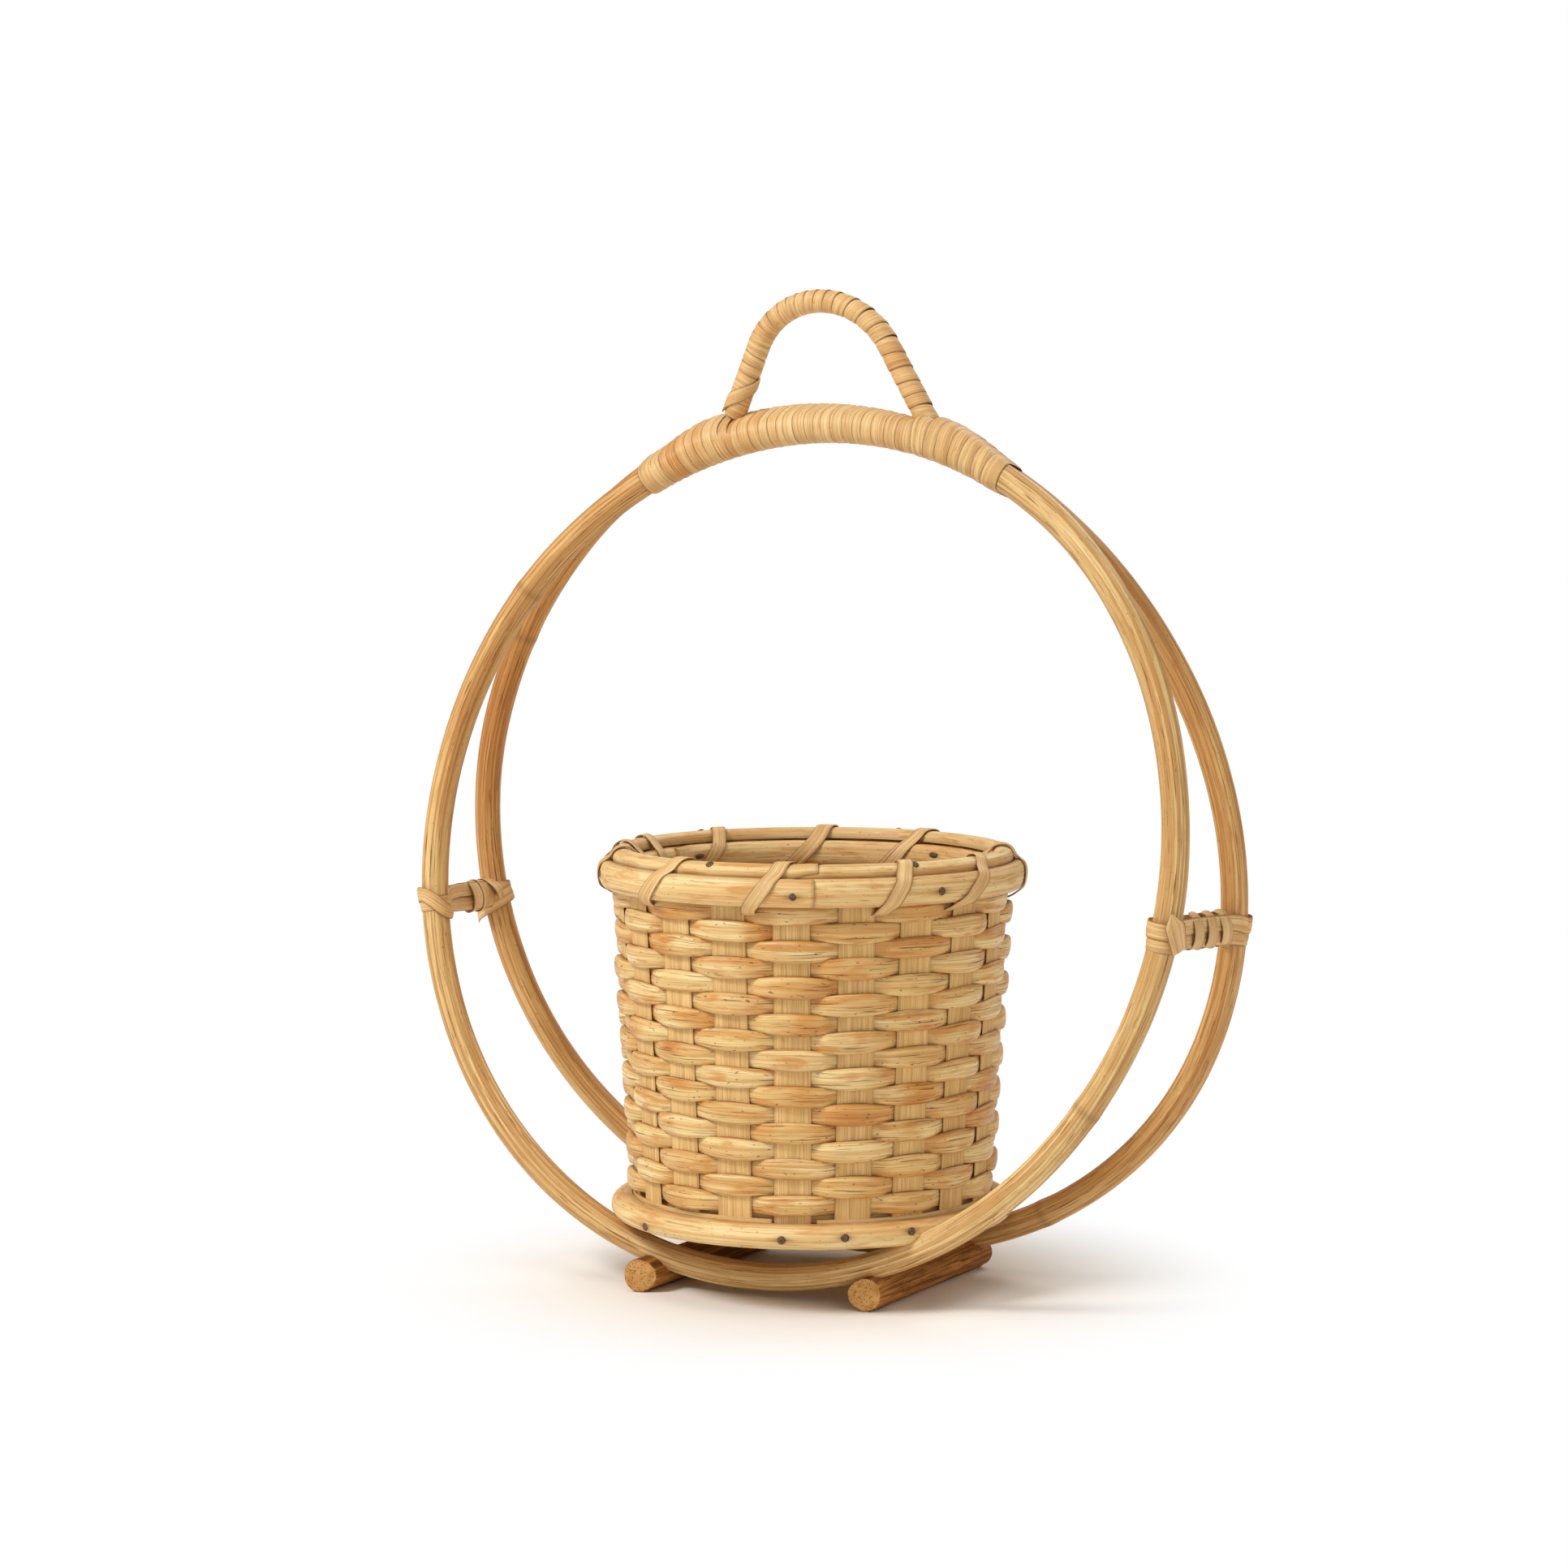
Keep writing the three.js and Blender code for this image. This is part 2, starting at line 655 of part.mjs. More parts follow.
// Hanging loop: a bent cane, round at the top with two straight legs, and the peel wound round it
const hoopTop = Math.max(hoopPoint(frontHoop, 90).z, hoopPoint(backHoop, 90).z);
const bindingTop = hoopTop + bindingRadius + peelThickness / 2;
const loopArc = Math.PI / 2 - radians(loopSplay);
const loopArcLength = loopTopRadius * loopArc;
const loopArcDrop = loopTopRadius * (1 - Math.cos(loopArc));
const loopCoreRadius = loopCoreDiameter / 2;
const loopTop = bindingTop + loopRise - loopCoreRadius;

// Each leg ends just above the binding, which falls away with the hoops' curve.
function loopLeg(side) {
  const legStart = loopTopRadius * Math.sin(loopArc);
  const x = loopX + side * (legStart + (loopRise - loopArcDrop) * Math.tan(radians(loopSplay)));
  const fallAway = frontHoop.radius - Math.sqrt(frontHoop.radius ** 2 - x ** 2);
  const standOff = loopCoreRadius * Math.sin(radians(loopSplay)) + 2 * gap;
  return (loopRise - loopCoreRadius + fallAway - standOff - loopArcDrop) / Math.cos(radians(loopSplay));
}
const leftLeg = loopLeg(-1);
const rightLeg = loopLeg(1);
const loopLength = leftLeg + 2 * loopArcLength + rightLeg;

// The middle of the cane at a share of its length, from the left foot to the right one.
function loopPoint(share) {
  const fromTop = share * loopLength - leftLeg - loopArcLength;
  const side = Math.sign(fromTop);
  const distance = Math.abs(fromTop);
  const turn = Math.min(distance / loopTopRadius, loopArc);
  const beyond = Math.max(distance - loopArcLength, 0);
  const x = side * (loopTopRadius * Math.sin(turn) + beyond * Math.sin(radians(loopSplay)));
  const drop = loopTopRadius * (1 - Math.cos(turn)) + beyond * Math.cos(radians(loopSplay));
  const lean = loopLean * (1 - drop / loopRise);
  return new THREE.Vector3(loopX + x + lean, 0, loopTop - drop);
}

function loopRing(share, radius, sides) {
  const along = loopPoint(share + smallStep).sub(loopPoint(share - smallStep)).normalize();
  const across = new THREE.Vector3(0, 1, 0);
  const up = new THREE.Vector3().crossVectors(across, along);
  return Array.from({ length: sides }, (_, i) => {
    const turn = (i / sides) * 2 * Math.PI;
    return loopPoint(share)
      .addScaledVector(across, radius * Math.cos(turn))
      .addScaledVector(up, radius * Math.sin(turn));
  });
}

function loopCoreGeometry() {
  const ring = (_, i) => loopRing(i / loopSteps, loopCoreRadius, loopSides);
  const rings = Array.from({ length: loopSteps + 1 }, ring);
  return skin(rings, false);
}

function loopWrapGeometry() {
  const radius = loopCoreRadius + 2 * gap + peelThickness / 2;
  const endShare = loopCoreRadius / loopLength;
  const place = (share, turnAngle) => {
    const along = THREE.MathUtils.lerp(endShare, 1 - endShare, share);
    const middle = loopPoint(along);
    const direction = loopPoint(along + smallStep).sub(loopPoint(along - smallStep)).normalize();
    const across = new THREE.Vector3(0, 1, 0);
    const up = new THREE.Vector3().crossVectors(across, direction);
    const normal = across.multiplyScalar(Math.cos(turnAngle)).addScaledVector(up, Math.sin(turnAngle));
    return { point: middle.addScaledVector(normal, radius), normal };
  };
  const rings = woundStrip(place, loopWrapTurns, loopWrapTurnSteps, loopWrapWidth, peelThickness);
  printGap('handle_wrap', rings, loopWrapTurnSteps);
  return skin(rings, false);
}

add('handle_core', loopCoreGeometry(), 'pole');
add('handle_wrap', loopWrapGeometry(), 'peel');

// Ties: a strap of peel round both poles, drawn in at its waist, and a strip wound round the waist
function tieFrame(angle) {
  const { front, back, along, across } = pairSection(angle);
  const out = new THREE.Vector3().crossVectors(along, across).normalize();
  const pole = new THREE.Vector3().crossVectors(across, out).normalize();
  return { front, back, across, out, pole, middle: front.clone().lerp(back, 0.5) };
}

function tieStrapGeometry(angle) {
  const { front, back, across, out, pole, middle } = tieFrame(angle);
  const reach = poleRadius + tieStrapClearance + tieStrapThickness / 2;
  const bend = radians(strapBend);
  const path = [];
  const aroundPole = (centre, start) => {
    for (let i = 0; i <= strapBendSteps; i += 1) {
      const turn = start + (i / strapBendSteps) * bend;
      const normal = across.clone().multiplyScalar(Math.cos(turn)).addScaledVector(out, Math.sin(turn));
      path.push({ point: centre.clone().addScaledVector(normal, reach), normal });
    }
  };
  const waistEnd = front.distanceTo(back) / 2 - poleDiameter;
  const acrossWaist = (side) => {
    for (const end of [side, -side]) {
      const point = middle.clone()
        .addScaledVector(across, end * waistEnd)
        .addScaledVector(out, (side * tieWaistThickness) / 2);
      path.push({ point, normal: out.clone().multiplyScalar(side) });
    }
  };
  aroundPole(back, -bend / 2);
  acrossWaist(1);
  aroundPole(front, Math.PI - bend / 2);
  acrossWaist(-1);
  const rings = path.map(({ point, normal }, i) => {
    const up = normal.clone().setLength(tieStrapThickness / 2);
    const wide = pole.clone().setLength(tieStrapWidth / 2);
    const corner = (a, b) => point.clone().addScaledVector(wide, a).addScaledVector(up, b);
    return [corner(-1, -1), corner(1, -1), corner(1, 1), corner(-1, 1)];
  });
  return skin(rings, true);
}

function tieWrapGeometry(name, angle, turns) {
  const { across, out, pole, middle } = tieFrame(angle);
  const deep = ((tieWaistThickness + tieStrapThickness) / 2 + gap) * Math.SQRT2;
  const wide = (tieStrapWidth / 2 + gap) * Math.SQRT2;
  const length = turns * tieWrapPitch;
  const place = (share, turnAngle) => {
    const point = middle.clone()
      .addScaledVector(across, (share - 0.5) * length)
      .addScaledVector(out, deep * Math.sin(turnAngle))
      .addScaledVector(pole, wide * Math.cos(turnAngle));
    const normal = out.clone().multiplyScalar(Math.sin(turnAngle) / deep)
      .addScaledVector(pole, Math.cos(turnAngle) / wide).normalize();
    point.addScaledVector(normal, peelThickness / 2);
    return { point, normal };
  };
  const rings = woundStrip(place, turns, tieWrapTurnSteps, tieWrapWidth, peelThickness);
  printGap(name, rings, tieWrapTurnSteps);
  return skin(rings, false);
}

add('left_tie_strap', tieStrapGeometry(leftTieAngle), 'peel');
add('right_tie_strap', tieStrapGeometry(rightTieAngle), 'peel');
add('left_tie_wrap', tieWrapGeometry('left_tie_wrap', leftTieAngle, leftTieWrapTurns), 'peel');
add('right_tie_wrap', tieWrapGeometry('right_tie_wrap', rightTieAngle, rightTieWrapTurns), 'peel');

export default basketFrame;
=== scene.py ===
"""A rattan planter basket: a round woven basket held between two bent rattan hoops.

Sizes are in millimetres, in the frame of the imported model, and each mesh is turned to metres when it is made.
"""
import math
import random

import bmesh
import bpy
import numpy as np
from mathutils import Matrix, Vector


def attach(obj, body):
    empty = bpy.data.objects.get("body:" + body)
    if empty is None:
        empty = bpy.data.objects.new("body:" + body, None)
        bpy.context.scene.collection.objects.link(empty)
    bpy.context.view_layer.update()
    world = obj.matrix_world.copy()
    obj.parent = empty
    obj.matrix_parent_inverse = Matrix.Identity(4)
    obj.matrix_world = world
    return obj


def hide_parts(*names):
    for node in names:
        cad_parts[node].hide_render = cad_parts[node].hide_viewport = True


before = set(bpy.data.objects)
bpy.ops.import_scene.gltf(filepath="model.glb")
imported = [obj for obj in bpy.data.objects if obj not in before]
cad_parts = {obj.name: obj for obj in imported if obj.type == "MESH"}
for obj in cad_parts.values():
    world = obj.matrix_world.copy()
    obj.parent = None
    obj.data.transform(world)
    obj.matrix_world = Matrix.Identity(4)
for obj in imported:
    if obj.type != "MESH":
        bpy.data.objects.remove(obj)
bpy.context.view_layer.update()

MM = 0.001
UP = Vector((0, 0, 1))

# Camera: where the photograph was taken from
CAMERA_PLACE = (612.86, -1283.43, 295.58)
CAMERA_AZIMUTH = 26.0
CAMERA_PITCH = 4.8
CAMERA_LENS = 93.17
CAMERA_SENSOR = 36
CAMERA_SIDE = -64.0  # the side of the basket that faces the camera, in degrees

# Poles and feet
POLE_RADIUS = 4.8
HOOPS = {  # circles with a two-fold and a three-fold wave on them. seat: how deep one sits in the feet
    "front": {"side": -1, "middle_x": 0.0, "radius": 145.0, "oval": 4.0, "oval_tilt": 58, "lobe": 0.3,
              "lobe_tilt": -39, "seat": 2.8},
    "back": {"side": 1, "middle_x": 0.2, "radius": 146.7, "oval": 1.9, "oval_tilt": -68, "lobe": 2.35,
             "lobe_tilt": -33, "seat": 3.6},
}
HOOP_GAP = 0.3
LEFT_TIE_SPREAD = 40.0
RIGHT_TIE_SPREAD = 52.0
BOTTOM_SPREAD = 76.0
LEFT_TIE = 190.0  # the ties' angles round the hoops
RIGHT_TIE = -9.0
FOOT_DIAMETER = 12.0
FOOT_LENGTH = 89.0
FEET = {"left_foot": (-43.0, -5.0), "right_foot": (41.0, 0.0)}
FOOT_TURN = -2.5
FOOT_BEVEL = 0.8
FOOT_SLICES = 24
POLE_WANDER = 0.2  # how far a pole strays from its ring
POLE_SWELL = 0.12
JOINT_RISE = 0.22
JOINT_REACH = 1.1  # degrees to each side of a joint
BOUND_REACH = 33  # degrees to each side of the top, where the binding holds the poles even
TOP_LEFT = 135

# Basket
BASKET_X = -2.0
STAKES = 20
FIRST_STAKE = 2.4
STAKE_DRIFT = 2.6  # degrees that the stakes beside the camera's side have crept outwards
STAKE_OFFSET = -0.7
STAKE_WIDTH = 12.6
STAKE_THICKNESS = 1.2
WALL_FOOT_RADIUS = 61.6
WALL_TAPER = math.tan(math.radians(3.08))
ROWS = 17
LOWEST_ROW = 37.6
ROW_PITCH = 6.26
WEAVER_HEIGHT = 7.7
WEAVER_THICKNESS = 2.4
WEAVE_SWING = 1.8
UNEVEN = 0.3  # how far a weaver strays up and down, and outwards
WEAVE_LEAN = 0.3  # above 0, a weaver is outside its stakes for longer than inside them
WEAVE_STEEPNESS = 1.7  # how steeply a weaver passes between the stakes
WEAVER_PINCH = 1.1  # how much lower a weaver is halfway between two stakes
BASE_BOTTOM = 23.34
FLOOR_TOP = 31.14
FLOOR_RADIUS = 59.3
FLOOR_THICKNESS = 7
RIM_ROW = 144.3  # the row between the rim's bands
RIM_BOTTOM = 140.54
RIM_BAND_HEIGHT = 9.5
RIM_MIDDLE = RIM_BOTTOM + RIM_BAND_HEIGHT / 2
LASHING_WIDTH = 5.4
STITCHES = (  # the gap between stakes that each stitch comes out of, degrees beside its middle, and its lean
    (11, 0, 10), (13, 0.4, 12.5), (15, -2.6, 10.5), (17, -2.8, 8.5), (18, 1.6, 15.5), (20, 0.5, 11),
    (23, 0.6, 10), (25, -0.5, 10.5), (27, 0.4, 11), (29, -0.6, 10), (30, 0.3, 9.5),
)

# Nails: the angle and height of each, and for the top strip only the angle
BASE_NAILS = ((-118.5, 26.3), (-72.8, 27.3), (-55.4, 28.1), (-36.0, 28.9), (10, 27.6), (48, 27.9), (95, 27.4),
              (141, 27.9), (193, 27.3))
OUTER_NAILS = ((-69.4, 144.5), (-28.7, 144.9), (23, 145.3), (77, 145.0), (128, 145.6), (172, 145.2),
               (214, 145.5))
INNER_NAILS = ((159.7, 146.2), (118.8, 146.6), (67.4, 147.0), (10, 146.0), (-60, 145.8), (-120, 146.2))
STRIP_NAILS = (-94.4, -34.4, 31, 88, 152, 206)
NAIL_RADIUS = 1.3
NAIL_STAIN = (2.8, 0.9)  # how far a stain beside a nail reaches along the cane and across it

# Windings
PEEL = 0.6
BINDING_WIDTH = 6.4
BINDING_START = 116.0
BINDING_SWEEP = 55.2
LOOP_TOP = 344.86
LOOP_RADIUS = 28.0
LOOP_SPLAY = math.radians(26)
LOOP_RISE = 37.5
LOOP_X = 4.0
LOOP_LEAN = -3.3
LOOP_CORE_RADIUS = 2.7

# Studio
WHITE = (1, 1, 1, 1)
LIGHT_AIM = (0, 0, 0.15)  # in metres
FLOOR_FADE = (0.06, 0.16)  # metres from the middle over which the floor turns to plain white
SKY_STRENGTH = 0.44


def colour(hex_code):
    """Turns an sRGB hex colour to the linear colour that a socket takes."""
    parts = [int(hex_code[i:i + 2], 16) / 255 for i in (1, 3, 5)]
    linear = [p / 12.92 if p <= 0.04045 else ((p + 0.055) / 1.055) ** 2.4 for p in parts]
    return (*linear, 1.0)


def plug(tree, node, sockets):
    """Gives each input named in sockets a value, or a link from an output or from a node's first output."""
    for name, value in sockets.items():
        if isinstance(value, bpy.types.Node):
            value = value.outputs[0]
        if isinstance(value, bpy.types.NodeSocket):
            tree.links.new(value, node.inputs[name])
        else:
            node.inputs[name].default_value = value


def add_node(tree, kind, sockets=None, **settings):
    made = tree.nodes.new("ShaderNode" + kind)
    for name, value in settings.items():
        setattr(made, name, value)
    plug(tree, made, sockets or {})
    return made


def new_material(name):
    made = bpy.data.materials.new(name)
    made.use_nodes = True
    tree = made.node_tree
    return made, tree, tree.nodes["Principled BSDF"]


def cane_finish(name, colours, cane_radius, ridge_width, ridge_depth, shares, roughness, shine, coat):
    """Rattan. The UV map "cane" holds the metres along the cane and the share of the way round it.

    The share is turned to a circle, so the pattern has no seam, and it is stretched along the cane.
    colours are the pale ground, the warm ground, the stains and the dark lines. Sizes are in millimetres.
    shares: how strongly the lengths of warm ground, the bands, ridges, fibres, stains, streaks and flecks,
    and the sides and edges show. The sides are painted shade: darker and warmer than the crown, as though only
    the crown caught the light. The edges are the cane's own brown edges, darkened further as painted shadow
    lines where rows and turns of cane meet. The attribute "tan" browns a stretch, and "mark" darkens it.
    """
    made, tree, shader = new_material(name)
    pale, warm, stain, line = [colour(code) for code in colours]
    uv = add_node(tree, "UVMap", uv_map="cane")
    split = add_node(tree, "SeparateXYZ", {"Vector": uv})
    turn = add_node(tree, "Math", {0: split.outputs["Y"], 1: 2 * math.pi}, operation="MULTIPLY")
    beside = add_node(tree, "Math", {0: turn}, operation="COSINE")
    crown = add_node(tree, "Math", {0: turn}, operation="SINE")
    rolled = add_node(tree, "CombineXYZ", {"X": split.outputs["X"], "Y": beside, "Z": crown})
    patterns = {}
    # each pattern's stretch along the cane, its width in millimetres and its detail
    for layer, stretch, width, detail in (
            ("lengths", 6, 6.0, 1.0), ("bands", 50, 2.8, 1.0), ("ridges", 90, ridge_width, 1.0),
            ("fibres", 55, 0.4, 2.0), ("stains", 4.5, 3.4, 3.0), ("streaks", 30, 0.5, 1.0),
            ("flecks", 2.2, 0.8, 0.0)):
        stretched = add_node(tree, "VectorMath", {
            0: rolled, 1: (1 / stretch, cane_radius * MM, cane_radius * MM),
        }, operation="MULTIPLY")
        patterns[layer] = add_node(tree, "TexNoise", {
            "Vector": stretched, "Scale": 1 / (width * MM), "Detail": detail, "Roughness": 0.55,
        })
    # the middle of the crown and of the flat side are at 1, and the two edges at 0
    height = add_node(tree, "Math", {0: crown}, operation="ABSOLUTE")
    # from this mask the sides of each cane get painted shade, tinted towards the stain colour as though only
    # the crown caught the light, and the edges get the dark line colour: the cane's own brown edges, darkened
    # further as painted shadow lines where rows and turns of cane meet
    patterns["shaded_flanks"] = patterns["edges"] = height
    shade = pale
    # the values of the pattern where each layer starts to show and where it is at its strongest
    for layer, low, high, tint in (
            ("lengths", 0.42, 0.6, warm), ("bands", 0.46, 0.62, stain), ("ridges", 0.48, 0.58, stain),
            ("fibres", 0.5, 0.68, line), ("shaded_flanks", 0.95, 0.3, stain), ("stains", 0.5, 0.68, stain),
            ("streaks", 0.64, 0.7, line), ("flecks", 0.75, 0.82, line), ("edges", 0.3, 0.0, line)):
        amount = add_node(tree, "MapRange", {
            "Value": patterns[layer], "From Min": low, "From Max": high, "To Max": shares.get(layer, 0),
        }, interpolation_type="SMOOTHSTEP")
        shade = add_node(tree, "Mix", {0: amount, 6: shade, 7: tint}, data_type="RGBA").outputs[2]
    tan = add_node(tree, "Attribute", attribute_name="tan")
    shade = add_node(tree, "Mix", {0: tan.outputs["Fac"], 6: shade, 7: colour("#e6b97a")},
                     data_type="RGBA", blend_type="MULTIPLY").outputs[2]
    mark = add_node(tree, "Attribute", attribute_name="mark")
    shade = add_node(tree, "Mix", {0: mark.outputs["Fac"], 6: shade, 7: colour("#5b3617")},
                     data_type="RGBA").outputs[2]
    grain = add_node(tree, "Mix", {0: 0.35, 2: patterns["ridges"], 3: patterns["fibres"]}, data_type="FLOAT")
    bump = add_node(tree, "Bump", {"Height": grain, "Strength": 1.0, "Distance": ridge_depth * MM})
    dull = add_node(tree, "MapRange", {
        "Value": patterns["fibres"], "From Min": 0.3, "From Max": 0.75,
        "To Min": roughness - 0.06, "To Max": roughness + 0.12,
    })
    plug(tree, shader, {
        "Base Color": shade, "Roughness": dull, "Normal": bump, "IOR": 1.5,
        "Specular IOR Level": shine, "Coat Weight": coat, "Coat Roughness": 0.35,
    })
    return made


def sawn_end_finish():
    """The end grain of a rattan pole: tan pith full of open pores, which a saw leaves rough and matt."""
    made, tree, shader = new_material("sawn_rattan_end_grain")
    place = add_node(tree, "TexCoord").outputs["Object"]
    pores = add_node(tree, "TexVoronoi", {"Vector": place, "Scale": 1 / (0.75 * MM)})
    cloud = add_node(tree, "TexNoise", {"Vector": place, "Scale": 1 / (3.5 * MM), "Detail": 4.0})
    solid = add_node(tree, "MapRange", {
        "Value": pores.outputs["Distance"], "From Min": 0.12, "From Max": 0.34,
    }, interpolation_type="SMOOTHSTEP")
    tone = add_node(tree, "MapRange", {"Value": cloud, "From Min": 0.35, "From Max": 0.65})
    ground = add_node(tree, "Mix", {0: tone, 6: colour("#bb8446"), 7: colour("#dba867")}, data_type="RGBA")
    shade = add_node(tree, "Mix", {0: solid, 6: colour("#7a4b20"), 7: ground.outputs[2]}, data_type="RGBA")
    bump = add_node(tree, "Bump", {"Height": solid, "Strength": 0.6, "Distance": 0.3 * MM})
    plug(tree, shader, {"Base Color": shade.outputs[2], "Normal": bump, "Roughness": 0.85})
    return made


def board_finish():
    """A thin softwood board, cut flat and left bare: straight grain 1.6 mm apart, matt."""
    made, tree, shader = new_material("bare_softwood_board")
    place = add_node(tree, "TexCoord").outputs["Object"]
    along = add_node(tree, "Mapping", {"Vector": place, "Scale": (0.06, 1.0, 1.0)})
    grain = add_node(tree, "TexNoise", {"Vector": along, "Scale": 1 / (1.6 * MM), "Detail": 5.0})
    tone = add_node(tree, "MapRange", {"Value": grain, "From Min": 0.3, "From Max": 0.7})
    shade = add_node(tree, "Mix", {0: tone, 6: colour("#cfa873"), 7: colour("#9b6f3e")}, data_type="RGBA")
    bump = add_node(tree, "Bump", {"Height": grain, "Strength": 0.3, "Distance": 0.3 * MM})
    plug(tree, shader, {"Base Color": shade.outputs[2], "Normal": bump, "Roughness": 0.78})
    return made


def nail_finish():
    """Small steel nails that have gone brown: a skin of rust hides the bright metal and leaves it dull."""
    made, tree, shader = new_material("rusted_steel_nail")
    place = add_node(tree, "TexCoord").outputs["Object"]
    rust = add_node(tree, "TexNoise", {"Vector": place, "Scale": 1 / (0.5 * MM), "Detail": 4.0})
    tone = add_node(tree, "MapRange", {"Value": rust, "From Min": 0.4, "From Max": 0.65})
    shade = add_node(tree, "Mix", {0: tone, 6: colour("#7d5f42"), 7: colour("#3c2413")}, data_type="RGBA")
    dull = add_node(tree, "MapRange", {
        "Value": rust, "From Min": 0.4, "From Max": 0.65, "To Min": 0.4, "To Max": 0.8,
    })
    plug(tree, shader, {"Base Color": shade.outputs[2], "Roughness": dull, "Specular IOR Level": 0.3})
    return made


# Whole rattan pole, scraped of its bark: satin, with fine ridges and brown streaks that run its whole length
POLE = cane_finish(
    "scraped_rattan_pole", ("#e9cb8f", "#dab273", "#b57c3c", "#80491a"),
    cane_radius=POLE_RADIUS, ridge_width=1.1, ridge_depth=0.2, roughness=0.5, shine=0.35, coat=0.05,
    shares={"lengths": 0.5, "bands": 0.45, "ridges": 0.6, "fibres": 0.35, "stains": 0.3, "streaks": 0.8,
            "flecks": 0.35})
# Older, browner pole, cut short for the feet: dry and matt
FOOT = cane_finish(
    "brown_rattan_pole", ("#cc8c48", "#a86e34", "#74441c", "#3a1f0a"),
    cane_radius=FOOT_DIAMETER / 2, ridge_width=1.2, ridge_depth=0.3, roughness=0.7, shine=0.2, coat=0.0,
    shares={"lengths": 0.6, "bands": 0.6, "ridges": 0.6, "fibres": 0.5, "stains": 0.5, "streaks": 0.8,
            "flecks": 0.5})
# Half-round cane split from the core: pale and smooth on its crown, with orange stains and rough brown edges.
# Its sides carry painted shade, darker than the crown, and its edges painted shadow lines between the rows
WEAVER = cane_finish(
    "half_round_split_cane", ("#f2db9f", "#e0ba72", "#c8802a", "#6e3a10"),
    cane_radius=3.2, ridge_width=0.8, ridge_depth=0.16, roughness=0.44, shine=0.4, coat=0.08,
    shares={"lengths": 0.6, "bands": 0.35, "ridges": 0.35, "fibres": 0.3, "stains": 0.65, "streaks": 0.7,
            "flecks": 0.7, "shaded_flanks": 0.2, "edges": 0.9})
# Flat splints, planed from the core: straight open fibres in pale and brown lines, no skin, so they are matt
STAKE = cane_finish(
    "flat_split_cane", ("#efca8b", "#e1b874", "#bb8d50", "#936734"),
    cane_radius=4.0, ridge_width=0.5, ridge_depth=0.1, roughness=0.66, shine=0.3, coat=0.0,
    shares={"lengths": 0.4, "bands": 0.25, "ridges": 0.4, "fibres": 0.3, "stains": 0.1, "streaks": 0.25,
            "flecks": 0.15, "edges": 0.3})
# Thick half-round cane for the rims, the palest of all, with a few orange stains, and a touch of painted shade
# on its sides
BAND = cane_finish(
    "half_round_rim_cane", ("#efd59b", "#e3bd7c", "#ca873c", "#8a5422"),
    cane_radius=5.0, ridge_width=1.0, ridge_depth=0.16, roughness=0.48, shine=0.35, coat=0.06,
    shares={"lengths": 0.5, "bands": 0.3, "ridges": 0.3, "fibres": 0.2, "stains": 0.6, "streaks": 0.5,
            "flecks": 0.5, "shaded_flanks": 0.1, "edges": 0.5})
# Peel, the outer skin split off in ribbons: thin and tough, with ridges along it and a brown cut edge, which is
# darkened further as a painted shadow line where one turn laps the next
RIBBON = cane_finish(
    "rattan_peel_ribbon", ("#eecc94", "#e0b87a", "#c08d4e", "#7d5226"),
    cane_radius=3.0, ridge_width=0.7, ridge_depth=0.16, roughness=0.5, shine=0.35, coat=0.05,
    shares={"lengths": 0.5, "bands": 0.35, "ridges": 0.4, "fibres": 0.3, "stains": 0.25, "streaks": 0.4,
            "flecks": 0.3, "edges": 0.85})
END_GRAIN = sawn_end_finish()
BOARD = board_finish()
NAIL = nail_finish()


def polar(radius, degrees, z=0.0, middle_x=0.0):
    turn = math.radians(degrees)
    return Vector((middle_x + radius * math.cos(turn), radius * math.sin(turn), z))


def turn_past(angle, start):
    """How far an angle is past another, from -180 to 180 degrees."""
    return (angle - start + 180) % 360 - 180


def smoothstep(x):
    x = min(max(x, 0.0), 1.0)
    return x * x * (3 - 2 * x)


def deselect():
    bpy.ops.object.select_all(action="DESELECT")


def finish_piece(piece, material, nodes):
    """Smooths a piece, hangs it on the root body, and hides the nodes of the imported model that it stands for.
    """
    piece.data.materials.append(material)
    deselect()
    piece.select_set(True)
    bpy.context.view_layer.objects.active = piece
    bpy.ops.object.shade_smooth_by_angle(angle=math.radians(48))
    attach(piece, "root")
    if nodes:
        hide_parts(*nodes)


CANE_SHIFT = 1.7  # metres of the patterns between one cane and the next, so that no two look the same
cane_count = 0


